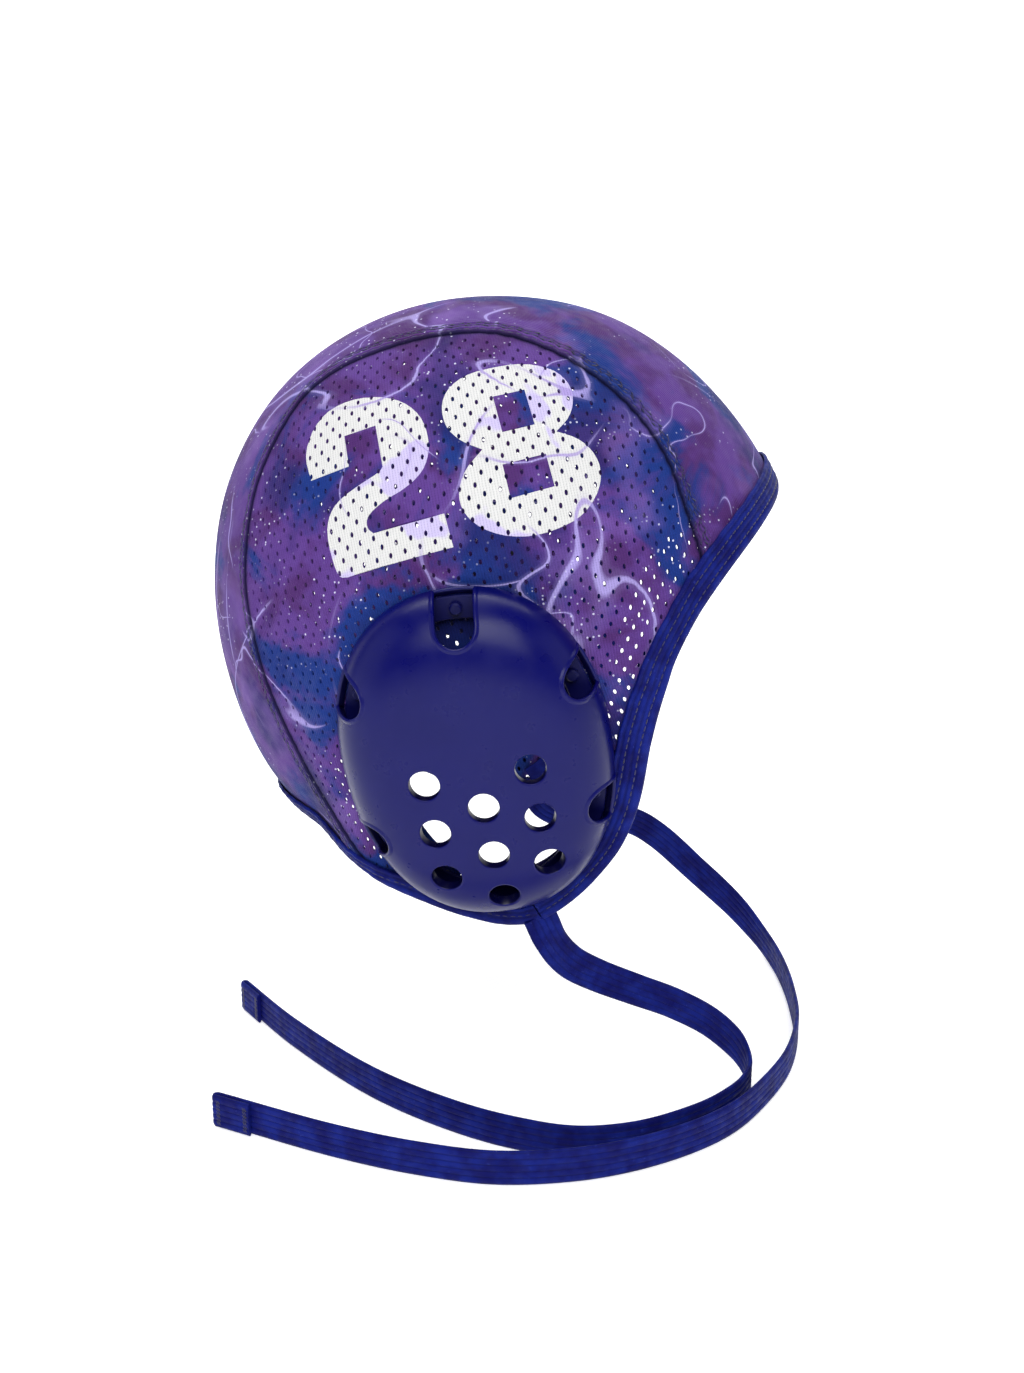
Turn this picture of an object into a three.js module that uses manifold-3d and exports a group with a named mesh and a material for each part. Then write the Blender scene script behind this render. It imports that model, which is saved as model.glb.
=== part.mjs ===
// A water polo cap: three sewn panels, edge bindings, two moulded ear guards on base rings, two flat ties.
// Millimetres. +X is the way the wearer faces, +Y the wearer's left, +Z up.
// The origin is the inside top of the crown, where the cap sits on a head.
import * as THREE from "three";
import { mergeVertices } from "three/addons/utils/BufferGeometryUtils.js";
import Module from "manifold-3d";

const wasm = await Module();
wasm.setup();

// Head that the cap is stretched to, measured from the head centre between the ears.
const crownHeight = 107.5; // to the outside of the crown
const headHalfWidth = 75; // to the outside of the fabric above the ear
const sideFullness = 2.3; // 2 is an ellipsoid, more is a boxier side

// Cloth
const fabric = 1.2; // panel thickness
const seamGap = 0.4; // between two panels that meet at a seam
const hemWidth = 4.8; // folded hem of the centre panel along each seam
const hemRise = 0.8;

// Edge bindings, elastic folded round the edge of the panels
const faceBindingWidth = 10.5;
const napeBindingWidth = 7;
const bindingWall = 0.9;
const bindingClearance = 0.6; // from each leaf to the panel between them
const foldClearance = 1.2; // from the fold to the cut edge of the panels
const pieceGap = 0.3; // between pieces that meet end to end or face to face

// Ear guards
const guardHalfLength = 52.6;
const guardHalfWidth = 40.5;
const guardDepth = 19;
const guardWall = 2;
const guardTaper = 0.03; // the lower half is this share narrower, the upper half wider
const guardSquareness = 2.2;
const guardForward = -5; // centre of the guard from the head centre
const guardDown = 24.6;
const earHalfWidth = 68.5; // mid plane to the fabric under the guard's centre
const guardCant = 7; // lower end towards the jaw, degrees
const guardToe = 2; // back end towards the head, degrees
const guardRoll = 10.5; // upper end towards the back, degrees
const flatReach = 1.02; // the fabric lies flat under the guard to this share of its outline
const flatFade = { face: 0.85, nape: 0.4 }; // and runs out into the head's curve over this share, by side

const soundHoleDiameter = 9.2;
const soundHolePitch = 15.9; // in a column
const soundColumnPitch = 15.7;
const soundHoleTop = 0.3; // first row of the outer columns, up from the guard's centre
const soundForward = 0.9; // middle column, from the guard's centre
const soundCentreDrop = 9.8; // the middle column sits this much lower
const soundRows = 3;

const windowWidth = 11.2;
const topWindowLength = 13.4; // in from the guard's outline
const sideWindowLength = 7.8;
const windowBar = 1.8; // height of the bar left across the mouth of each window
// Round the guard from its upper end, degrees
const WINDOWS = [
  { angle: 3.5, length: topWindowLength },
  { angle: 66, length: sideWindowLength },
  { angle: 110, length: sideWindowLength },
  { angle: 250, length: sideWindowLength },
  { angle: 301, length: sideWindowLength },
];

const ringWidth = 7;
const ringThickness = 1.4;
const pegDiameter = 3.8;
const pegHeight = 2;
const pegInset = 5.9; // from the guard's outline
// Opening in the side panel over the ear, from the guard's centre
const earOpening = { halfLength: 33, halfWidth: 27.5, up: -9, forward: 3.5 };

// Ties
const tieWidth = 11;
const tieThickness = 1.8;
const tabLength = 14; // folded and sewn free end
const tabExtra = 1.6; // how much thicker the folded end is

// Mid-plane outline of the head seen from the side: angle from straight ahead, radius as a share of the
// crown height. From 225 round to 355 only the flaps follow it, down the nape, jaw and face.
const HEAD_OUTLINE = [
  { angle: 20, share: 0.96 },
  { angle: 45, share: 0.974 },
  { angle: 70, share: 1.0 },
  { angle: 90, share: 1.0 },
  { angle: 110, share: 0.998 },
  { angle: 130, share: 0.981 },
  { angle: 150, share: 0.939 },
  { angle: 170, share: 0.889 },
  { angle: 190, share: 0.857 },
  { angle: 210, share: 0.853 },
  { angle: 225, share: 0.862 },
  { angle: 245, share: 0.965 },
  { angle: 265, share: 1.12 },
  { angle: 285, share: 1.24 },
  { angle: 310, share: 1.2 },
  { angle: 335, share: 1.03 },
  { angle: 355, share: 0.955 },
];

// Seam between the centre panel and a side panel: angle, and radius as a share of the head's outline there.
const SEAM = [
  { angle: 10, share: 0.655 },
  { angle: 20, share: 0.66 },
  { angle: 30, share: 0.675 },
  { angle: 40, share: 0.705 },
  { angle: 50, share: 0.755 },
  { angle: 60, share: 0.795 },
  { angle: 70, share: 0.83 },
  { angle: 80, share: 0.867 },
  { angle: 90, share: 0.898 },
  { angle: 100, share: 0.905 },
  { angle: 110, share: 0.91 },
  { angle: 120, share: 0.92 },
  { angle: 127, share: 0.918 },
  { angle: 135, share: 0.897 },
  { angle: 145, share: 0.873 },
  { angle: 155, share: 0.842 },
  { angle: 165, share: 0.82 },
  { angle: 175, share: 0.79 },
  { angle: 185, share: 0.77 },
  { angle: 195, share: 0.752 },
  { angle: 205, share: 0.744 },
  { angle: 215, share: 0.746 },
  { angle: 235, share: 0.76 },
];

// Lower edge of the cap from the middle of the forehead, down the face side of the flap and round the nape.
const RIM = [
  { angle: 27.2, share: 1.0 },
  { angle: 26.5, share: 0.966 },
  { angle: 25.1, share: 0.881 },
  { angle: 21.8, share: 0.752 },
  { angle: 17.3, share: 0.654 },
  { angle: 11.3, share: 0.58 },
  { angle: 3.5, share: 0.527 },
  { angle: 354.7, share: 0.5 },
  { angle: 343.1, share: 0.476 },
  { angle: 331.4, share: 0.468 },
  { angle: 319.5, share: 0.479 },
  { angle: 311.5, share: 0.498 },
  { angle: 304.5, share: 0.523 },
  { angle: 297.2, share: 0.549 },
  { angle: 290.2, share: 0.581 },
  { angle: 284.2, share: 0.613 },
  { angle: 278.1, share: 0.649 },
  { angle: 270.9, share: 0.675 },
  { angle: 262.8, share: 0.692 },
  { angle: 254.8, share: 0.717 },
  { angle: 247.9, share: 0.748 },
  { angle: 242.4, share: 0.776 },
  { angle: 238.1, share: 0.796 },
  { angle: 234.5, share: 0.82 },
  { angle: 229.2, share: 0.856 },
  { angle: 223.3, share: 0.924 },
  { angle: 220.3, share: 0.975 },
  { angle: 219.5, share: 1.0 },
];
// Place along RIM, in rows, of the flap's foot, where the two bindings and the tie meet
const flapRow = 15.6;

// Free run of each tie, chosen point by point, in the cap's own frame. Right is the wearer's right.
const TIE_ROUTES = {
  tie_right: [
    [14.7, -62, -189.5],
    [16.9, -61.3, -194.8],
    [19.8, -59.6, -200.2],
    [24.5, -56.9, -206],
    [33, -53.2, -212.2],
    [45.5, -50.2, -218.6],
    [58.8, -50, -223.9],
    [71, -53, -229.6],
    [79, -58.8, -235.6],
    [81.2, -67, -239.6],
    [77.6, -76, -240.8],
    [70, -85.5, -240.8],
    [60.8, -93.1, -240.8],
    [42, -102.8, -240.8],
    [23.8, -105.3, -240.8],
    [6.1, -100.3, -240.8],
    [-12.2, -91, -240.8],
    [-38.4, -71.3, -240.8],
    [-68.5, -38, -240.8],
    [-89.5, -9.1, -240.8],
  ],
  tie_left: [
    [14.7, 62, -189.5],
    [17.8, 61.8, -194.4],
    [25, 61.3, -197.8],
    [39.9, 61, -198.3],
    [53, 61, -200.6],
    [62.5, 60, -206],
    [77.7, 56, -218.9],
    [92, 49.2, -230.8],
    [100, 40, -238],
    [104, 26, -240.8],
    [105.2, 8, -240.8],
    [104.8, -12, -240.8],
    [102.4, -34, -240.8],
    [95.3, -57, -240.8],
    [84, -77, -240.8],
    [73, -91.2, -240.8],
    [60, -101.8, -240.8],
    [42, -111.4, -240.8],
    [23.5, -117, -240.8],
    [0, -118.6, -240.8],
    [-23, -113.6, -240.8],
    [-47.3, -104.6, -240.8],
    [-85.2, -86.2, -240.8],
  ],
};

// Counts of steps in each mesh
const seamSteps = 26;
const rimSteps = 34; // of a side panel's border along the rim
const faceSteps = 24;
const napeSteps = 22;
const panelRings = 6;
const centreColumns = 5; // from the hem to the middle
const edgeSteps = 24; // of the centre panel's two short edges, each side
const guardRings = 6;
const guardSides = 24;
const holeSides = 10;
const pegSides = 8;
const windowArcSteps = 5;
const tieSteps = 34;

// Colours of the pieces
const LOOKS = {
  print: { color: 0x4c3488, roughness: 0.85, metalness: 0 },
  elastic: { color: 0x14206e, roughness: 0.8, metalness: 0 },
  guard: { color: 0x141a78, roughness: 0.38, metalness: 0 },
  ring: { color: 0x0c1150, roughness: 0.5, metalness: 0 },
};

const radians = THREE.MathUtils.degToRad;
const vector = (x, y, z) => new THREE.Vector3(x, y, z);
const evenly = (from, to, steps) =>
  Array.from({ length: steps + 1 }, (_, i) => THREE.MathUtils.lerp(from, to, i / steps));

// Value of a table at an angle, by a smooth curve through its rows. A period makes the table go round.
function shareAt(rows, angle, period = 0) {
  const count = rows.length;
  const row = (i) => {
    const turns = period ? Math.floor(i / count) : 0;
    const at = rows[period ? i - turns * count : Math.min(Math.max(i, 0), count - 1)];
    return { angle: at.angle + turns * period, share: at.share };
  };
  const first = rows[0].angle;
  const place = period ? first + THREE.MathUtils.euclideanModulo(angle - first, period) : angle;
  let i = 0;
  while (i < count - (period ? 1 : 2) && row(i + 1).angle <= place) i += 1;
  const [before, from, to, after] = [row(i - 1), row(i), row(i + 1), row(i + 2)];
  const span = to.angle - from.angle;
  const t = (place - from.angle) / span;
  const leave = ((to.share - before.share) / (to.angle - before.angle)) * span;
  const arrive = ((after.share - from.share) / (after.angle - from.angle)) * span;
  const [t2, t3] = [t * t, t * t * t];
  return (
    (2 * t3 - 3 * t2 + 1) * from.share +
    (t3 - 2 * t2 + t) * leave +
    (3 * t2 - 2 * t3) * to.share +
    (t3 - t2) * arrive
  );
}

// The fabric's outer surface is charted from the ear. A chart point's distance from (0, 0) is the angle from
// the ear pole, 90 being the mid plane and more the wearer's left side, and its direction is the angle seen
// from the side.
function chartPoint(angle, share) {
  const reach = THREE.MathUtils.radToDeg(Math.asin(Math.min(share, 1) ** (sideFullness / 2)));
  return new THREE.Vector2(reach * Math.cos(radians(angle)), reach * Math.sin(radians(angle)));
}

// Half width of the flat plane that the fabric takes under the guard.
function flatHalfWidth(x, z) {
  return (
    earHalfWidth +
    (z + guardDown) * Math.tan(radians(guardCant)) +
    (x - guardForward) * Math.tan(radians(guardToe))
  );
}

function onSurface(chart) {
  const reach = chart.length();
  const left = reach > 90;
  const polar = radians(left ? 180 - reach : reach);
  const bearing = Math.atan2(chart.y, chart.x);
  const outline = crownHeight * shareAt(HEAD_OUTLINE, THREE.MathUtils.radToDeg(bearing), 360);
  const radius = outline * Math.sin(polar) ** (2 / sideFullness);
  const x = radius * Math.cos(bearing);
  const z = radius * Math.sin(bearing);
  const round = headHalfWidth * Math.cos(polar);
  const place = new THREE.Vector2(
    (x - guardForward) / guardHalfWidth,
    (z + guardDown) / guardHalfLength,
  );
  const facing = (1 + Math.cos(place.angle())) / 2;
  const fade = THREE.MathUtils.lerp(flatFade.nape, flatFade.face, facing);
  const flat = 1 - THREE.MathUtils.smoothstep(place.length(), flatReach, flatReach + fade);
  const halfWidth = (1 - flat) * round + flat * flatHalfWidth(x, z);
  return vector(x, left ? halfWidth : -halfWidth, z);
}

const chartStep = 0.05; // degrees
function slopes(chart) {
  const along = (dx, dy) =>
    onSurface(new THREE.Vector2(chart.x + dx, chart.y + dy))
      .sub(onSurface(new THREE.Vector2(chart.x - dx, chart.y - dy)))
      .divideScalar(2 * chartStep);
  return [along(chartStep, 0), along(0, chartStep)];
}

function outwards(chart) {
  const [across, up] = slopes(chart);
  const normal = across.cross(up).normalize();
  const point = onSurface(chart);
  return normal.dot(point) < 0 ? normal.negate() : normal;
}

// The chart point reached by walking over the surface from a chart point, a distance along a direction.
function walk(chart, direction, distance, steps = 3) {
  const place = chart.clone();
  for (let i = 0; i < steps; i += 1) {
    const [a, b] = slopes(place);
    const [aa, ab, bb] = [a.dot(a), a.dot(b), b.dot(b)];
    const [da, db] = [a.dot(direction), b.dot(direction)];
    const scale = distance / steps / (aa * bb - ab * ab);
    place.x += (da * bb - db * ab) * scale;
    place.y += (db * aa - da * ab) * scale;
  }
  return place;
}

const offsetPoint = (chart, offset) => onSurface(chart).addScaledVector(outwards(chart), offset);

// The rim as a curve on the chart. Its ends run on over the mid plane, so that it crosses it squarely.
const overMidPlane = ({ angle, share }) => {
  const right = chartPoint(angle, share);
  return right.clone().setLength(180 - right.length());
};
const rimPoints = [
  overMidPlane(RIM[1]),
  ...RIM.map(({ angle, share }) => chartPoint(angle, share)),
  overMidPlane(RIM[RIM.length - 2]),
].map(({ x, y }) => vector(x, y, 0));
const rimCurve = new THREE.CatmullRomCurve3(rimPoints);

// Chart point of the rim at a place counted in rows of RIM, and the way into the panels there.
function rimAt(row) {
  const { x, y } = rimCurve.getPoint((row + 1) / (rimPoints.length - 1));
  return new THREE.Vector2(x, y);
}

const rowStep = 0.02;
function rimFrame(row) {
  const chart = rimAt(row);
  const along = onSurface(rimAt(row + rowStep))
    .sub(onSurface(rimAt(row - rowStep)))
    .normalize();
  const inwards = outwards(chart).cross(along).normalize();
  return { chart, inwards: inwards.negate() };
}

function rimInset(row, distance) {
  const { chart, inwards } = rimFrame(row);
  return walk(chart, inwards, distance);
}

// From the rim to the cut edge of the panels inside the fold
const edgeInset = bindingWall + foldClearance;

const angleOf = (chart) =>
  THREE.MathUtils.euclideanModulo(THREE.MathUtils.radToDeg(Math.atan2(chart.y, chart.x)), 360);

// Place along the rim, in rows, where a seam runs out, found by halving a stretch that it lies in.
function seamRow({ from, to }) {
  const outside = (row) => {
    const chart = rimInset(row, edgeInset);
    const angle = angleOf(chart);
    return chart.length() > chartPoint(angle, shareAt(SEAM, angle)).length();
  };
  let [low, high] = [from, to];
  const start = outside(low);
  while (Math.abs(high - low) > rowStep / 1e6) {
    const middle = (low + high) / 2;
    if (outside(middle) === start) low = middle;
    else high = middle;
  }
  return (low + high) / 2;
}
const foreheadSeamRow = seamRow({ from: 1.5, to: 6 });
const napeSeamRow = seamRow({ from: RIM.length - 2.5, to: RIM.length - 7 });

const seamStart = angleOf(rimInset(foreheadSeamRow, edgeInset));
const seamEnd = angleOf(rimInset(napeSeamRow, edgeInset));

// Chart point of the seam at a share of the way from the forehead to the nape.
function seamAt(share) {
  const angle = THREE.MathUtils.lerp(seamStart, seamEnd, share);
  return chartPoint(angle, shareAt(SEAM, angle));
}

// Places of both panels' corners along a seam, closer where it runs in under the bindings.
const seamPlaces = evenly(0, 1, seamSteps);
seamPlaces.splice(1, 0, seamPlaces[1] / 2);
seamPlaces.splice(-1, 0, 1 - seamPlaces[1]);

// A solid from rings of points. Rings that go round close on themselves, as a panel round an opening does;
// otherwise the end rings are closed by the given triangles of their points.
function solidOfRings(rings, ends = null) {
  const positions = rings.flat().flatMap((p) => [p.x, p.y, p.z]);
  const size = rings[0].length;
  const index = [];
  const last = ends ? rings.length - 1 : rings.length;
  for (let i = 0; i < last; i += 1) {
    const next = (i + 1) % rings.length;
    for (let j = 0; j < size; j += 1) {
      const k = (j + 1) % size;
      index.push(i * size + j, next * size + j, next * size + k);
      index.push(i * size + j, next * size + k, i * size + k);
    }
  }
  for (const triangle of ends ?? []) {
    const [a, b, c] = [...triangle].sort((one, other) => one - other);
    const base = (rings.length - 1) * size;
    index.push(a, b, c, base + a, base + c, base + b);
  }
  return closedGeometry(positions, index);
}

// Merges shared corners, drops faces that have shrunk to a line, and turns the faces outwards.
function closedGeometry(positions, index) {
  const merged = mergeVertices(
    new THREE.BufferGeometry()
      .setAttribute("position", new THREE.Float32BufferAttribute(positions, 3))
      .setIndex(index),
    1e-3,
  );
  const corners = [...merged.index.array];
  const place = (i) => new THREE.Vector3().fromBufferAttribute(merged.attributes.position, i);
  const kept = [];
  let volume = 0;
  for (let i = 0; i < corners.length; i += 3) {
    const [a, b, c] = corners.slice(i, i + 3);
    if (a === b || b === c || c === a) continue;
    kept.push(a, b, c);
    volume += place(a).dot(place(b).cross(place(c)));
  }
  if (volume < 0) {
    for (let i = 0; i < kept.length; i += 3) [kept[i], kept[i + 1]] = [kept[i + 1], kept[i]];
  }
  return merged.setIndex(kept);
}

function mirrored(geometry) {
  const copy = geometry.clone();
  copy.scale(1, -1, 1);
  return closedGeometry([...copy.attributes.position.array], [...copy.index.array]);
}

// Triangles that close the end of a thin sheet, whose loop runs out along one face and back along the other.
function sheetEnds(count) {
  const triangles = [];
  for (let j = 0; j + 1 < count; j += 1) {
    const [inner, nextInner] = [2 * count - 1 - j, 2 * count - 2 - j];
    triangles.push([j, j + 1, nextInner], [j, inner, nextInner]);
  }
  return triangles;
}

// Side panel: rings from the ear opening out to the seam, the face edge and the nape edge.
const ringSpread = 1.4; // more than 1 draws the rings together towards the border
function sidePanel() {
  const border = [];
  for (const along of seamPlaces.slice(0, -1)) border.push(seamAt(along));
  for (let i = 0; i < rimSteps; i += 1) {
    const row = THREE.MathUtils.lerp(napeSeamRow, foreheadSeamRow, i / rimSteps);
    border.push(rimInset(row, edgeInset));
  }
  const roll = radians(guardRoll);
  const centre = new THREE.Vector2(
    guardForward + earOpening.forward * Math.cos(roll) - earOpening.up * Math.sin(roll),
    -guardDown + earOpening.up * Math.cos(roll) + earOpening.forward * Math.sin(roll),
  );
  const ringAt = (share, offset) =>
    border.map((edge) => {
      const far = onSurface(edge);
      const bearing = Math.atan2(far.z - centre.y, far.x - centre.x) - roll;
      const forwards = Math.cos(bearing) / earOpening.halfWidth;
      const upwards = Math.sin(bearing) / earOpening.halfLength;
      const reach = 1 / Math.hypot(forwards, upwards);
      const near = chartOf(
        centre.x + reach * Math.cos(bearing + roll),
        centre.y + reach * Math.sin(bearing + roll),
      );
      return offsetPoint(near.lerp(edge, share), offset);
    });
  const shares = evenly(0, 1, panelRings).map((share) => 1 - (1 - share) ** ringSpread);
  const outer = shares.map((share) => ringAt(share, 0));
  const inner = shares.map((share) => ringAt(share, -fabric)).reverse();
  return solidOfRings([...outer, ...inner]);
}

// Chart point of a place given in the side view, from the head centre.
function chartOf(x, z) {
  const angle = THREE.MathUtils.radToDeg(Math.atan2(z, x));
  return chartPoint(angle, Math.hypot(x, z) / (crownHeight * shareAt(HEAD_OUTLINE, angle, 360)));
}

// Centre panel: a row of points across the head for each step from the forehead to the nape, with a hem along
// both seams.
const hemFoot = 1.25; // the hem slopes down to the panel over this share of its width
const columnSpread = 1.2; // more than 1 draws the columns together towards the hem
const hemFree = 1.5; // steps at each end where the hem lies flat under the binding
function centrePanel() {
  const edges = (seamPlace, midPlace) =>
    evenly(seamPlace, midPlace, edgeSteps).map((row) => rimInset(row, edgeInset));
  const frontEdge = edges(foreheadSeamRow, 0);
  const napeEdge = edges(napeSeamRow, RIM.length - 1);
  // Angle of an edge where it has come a share of the way from the seam to the mid plane.
  const edgeAngle = (edge, share) => {
    const reach = THREE.MathUtils.lerp(edge[0].length(), 90, share);
    let i = 0;
    while (i < edge.length - 2 && edge[i + 1].length() < reach) i += 1;
    const t = (reach - edge[i].length()) / (edge[i + 1].length() - edge[i].length());
    return THREE.MathUtils.lerp(angleOf(edge[i]), angleOf(edge[i + 1]), THREE.MathUtils.clamp(t, 0, 1));
  };
  const rows = [];
  for (const along of seamPlaces) {
    const seam = seamAt(along);
    const at = (share) => {
      const angle =
        angleOf(seam) +
        (1 - along) * (edgeAngle(frontEdge, share) - seamStart) +
        along * (edgeAngle(napeEdge, share) - seamEnd);
      const reach = THREE.MathUtils.lerp(seam.length(), 90, share);
      return new THREE.Vector2(reach * Math.cos(radians(angle)), reach * Math.sin(radians(angle)));
    };
    const width = onSurface(at(0)).distanceTo(onSurface(at(0.5))) * 2;
    const hem = hemWidth / width;
    const lap = seamGap / width;
    const hemShown = Math.min(along, 1 - along) * seamSteps >= hemFree ? hemRise : 0;
    const columns = [
      { share: lap, rise: hemShown },
      { share: hem, rise: hemShown },
      { share: hem * hemFoot, rise: 0 },
    ];
    for (const step of evenly(0, 1, centreColumns).slice(1, -1)) {
      columns.push({ share: THREE.MathUtils.lerp(hem * hemFoot, 1, step ** columnSpread), rise: 0 });
    }
    const outer = columns.map(({ share, rise }) => offsetPoint(at(share), rise));
    const inner = columns.map(({ share }) => offsetPoint(at(share), -fabric));
    const middle = (offset) => offsetPoint(at(1), offset).setY(0);
    const flip = (p) => vector(p.x, -p.y, p.z);
    rows.push([
      ...outer,
      middle(0),
      ...outer.map(flip).reverse(),
      ...inner.map(flip),
      middle(-fabric),
      ...[...inner].reverse(),
    ]);
  }
  return solidOfRings(rows, sheetEnds(rows[0].length / 2));
}

// Section of a binding folded round the edge of a panel: distance in from the fold, and height over the
// fabric's outer face.
const foldRounding = 0.7; // share of the binding's wall
function bindingSection(width) {
  const inside = bindingClearance;
  const outside = bindingClearance + bindingWall;
  const below = -fabric - bindingClearance;
  const under = below - bindingWall;
  const round = bindingWall * foldRounding;
  return [
    [width, inside],
    [width, outside],
    [round, outside],
    [0, outside - round],
    [0, under + round],
    [round, under],
    [width, under],
    [width, below],
    [bindingWall, below],
    [bindingWall, inside],
  ];
}

// Sweeps a binding along the rim from the flap's foot to the mid plane, through places given in rows, and on
// as a mirror image down the wearer's left.
function binding(places, width) {
  const section = bindingSection(width);
  const right = places.map((row) => {
    const { chart, inwards } = rimFrame(row);
    return section.map(([distance, height]) => offsetPoint(walk(chart, inwards, distance), height));
  });
  const middle = right[right.length - 1].map((p) => vector(p.x, 0, p.z));
  const left = right.slice(0, -1).map((ring) => ring.map((p) => vector(p.x, -p.y, p.z)));
  const ends = THREE.ShapeUtils.triangulateShape(
    section.map(([distance, height]) => new THREE.Vector2(distance, height)),
    [],
  );
  return solidOfRings([...right.slice(0, -1), middle, ...left.reverse()], ends);
}

// Guard frame on the flat of the side panel: across (forwards), up (rolled back) and out.
const guardOut = vector(-Math.tan(radians(guardToe)), -1, -Math.tan(radians(guardCant))).normalize();
const plainUp = vector(0, 0, 1).projectOnPlane(guardOut).normalize();
const plainAcross = new THREE.Vector3().crossVectors(plainUp, guardOut);
const guardUp = plainUp
  .clone()
  .multiplyScalar(Math.cos(radians(guardRoll)))
  .addScaledVector(plainAcross, -Math.sin(radians(guardRoll)));
const guardAcross = new THREE.Vector3().crossVectors(guardUp, guardOut);
const guardCentre = vector(guardForward, -earHalfWidth, -guardDown);
const guardFrame = new THREE.Matrix4()
  .makeBasis(guardAcross, guardUp, guardOut)
  .setPosition(guardCentre);

// Outline of the guard, shrunk by an inset, at an angle from its upper end towards the front.
function guardOutline(angle, inset = 0) {
  const [s, c] = [Math.sin(radians(angle)), Math.cos(radians(angle))];
  const power = (value) => Math.sign(value) * Math.abs(value) ** (2 / guardSquareness);
  return new THREE.Vector2(
    (guardHalfWidth - inset) * power(s) * (1 + guardTaper * c),
    (guardHalfLength - inset) * power(c),
  );
}

const guardLoop = (inset, height, sides = guardSides) =>
  Array.from({ length: sides }, (_, j) => {
    const { x, y } = guardOutline((360 * j) / sides, inset);
    return vector(x, y, height);
  });

function toManifold(geometry) {
  return new wasm.Manifold(
    new wasm.Mesh({
      numProp: 3,
      vertProperties: Float32Array.from(geometry.attributes.position.array),
      triVerts: Uint32Array.from(geometry.index.array),
    }),
  );
}

function fromManifold(manifold) {
  const mesh = manifold.getMesh();
  return closedGeometry([...mesh.vertProperties], [...mesh.triVerts]);
}

// A plain geometry class as a solid that manifold-3d can cut with.
function cutter(geometry) {
  const bare = new THREE.BufferGeometry().setAttribute("position", geometry.attributes.position);
  if (geometry.index) bare.setIndex(geometry.index);
  const merged = mergeVertices(bare, 1e-3);
  return toManifold(closedGeometry([...merged.attributes.position.array], [...merged.index.array]));
}

// Dome of the guard: a round shoulder and a gently domed face, over its base ring.
function guardDome(inset, depth) {
  const rings = [];
  for (let i = 0; i <= guardRings; i += 1) {
    const lift = radians((90 * i) / guardRings);
    const share = Math.cos(lift) ** 0.5;
    const height = depth * Math.sin(lift);
    rings.push(guardLoop(inset, 0).map((p) => vector(p.x * share, p.y * share, height)));
  }
  return rings;
}

// The dome and its base ring stand just clear of the face binding, which passes under them at the flap.
const guardSeat = bindingClearance + bindingWall + pieceGap;

function soundHoles() {
  const holes = [];
  for (const column of [-1, 0, 1]) {
    for (let row = 0; row < soundRows; row += 1) {
      const drop = column === 0 ? soundCentreDrop : 0;
      const across = soundForward + column * soundColumnPitch;
      holes.push(new THREE.Vector2(across, soundHoleTop - drop - row * soundHolePitch));
    }
  }
  return holes;
}

// A window in from the guard's edge: straight sides and a round inner end, drawn with its mouth upwards.
function windowShape(length) {
  const half = windowWidth / 2;
  const shape = new THREE.Shape();
  shape.moveTo(-half, guardWall);
  shape.lineTo(-half, half - length);
  shape.absarc(0, half - length, half, Math.PI, 2 * Math.PI, false);
  shape.lineTo(half, guardWall);
  shape.closePath();
  return shape;
}

function earGuard() {
  const outer = guardDome(0, guardDepth);
  const inner = guardDome(guardWall, guardDepth - guardWall);
  const dome = solidOfRings([...outer.reverse(), ...inner], []);
  let solid = toManifold(dome);
  const reachIn = 2 * guardDepth;
  for (const { x, y } of soundHoles()) {
    const radius = soundHoleDiameter / 2;
    const drill = new THREE.CylinderGeometry(radius, radius, reachIn, holeSides);
    drill.rotateX(Math.PI / 2);
    drill.translate(x, y, guardDepth);
    solid = solid.subtract(cutter(drill));
  }
  const cut = { depth: reachIn, bevelEnabled: false, curveSegments: windowArcSteps };
  for (const { angle, length } of WINDOWS) {
    const blank = new THREE.ExtrudeGeometry(windowShape(length), cut);
    const mouth = guardOutline(angle);
    blank.rotateZ(-Math.atan2(mouth.x, mouth.y));
    blank.translate(mouth.x, mouth.y, windowBar);
    solid = solid.subtract(cutter(blank));
  }
  const geometry = fromManifold(solid);
  geometry.translate(0, 0, guardSeat);
  return geometry.applyMatrix4(guardFrame);
}

// Base ring inside the dome's foot, with a peg in each window that holds the dome.
function baseRing() {
  const top = guardSeat + ringThickness;
  const edge = guardWall + pieceGap;
  const rings = [
    guardLoop(edge, top),
    guardLoop(edge + ringWidth, top),
    guardLoop(edge + ringWidth, guardSeat),
    guardLoop(edge, guardSeat),
  ];
  let solid = toManifold(solidOfRings(rings));
  for (const { angle } of WINDOWS) {
    const { x, y } = guardOutline(angle, pegInset);
    const length = ringThickness / 2 + pegHeight;
    const peg = new THREE.CylinderGeometry(pegDiameter / 2, pegDiameter / 2, length, pegSides);
    peg.rotateX(Math.PI / 2);
    peg.translate(x, y, top + pegHeight - length / 2);
    solid = solid.add(cutter(peg));
  }
  return fromManifold(solid).applyMatrix4(guardFrame);
}

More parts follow.
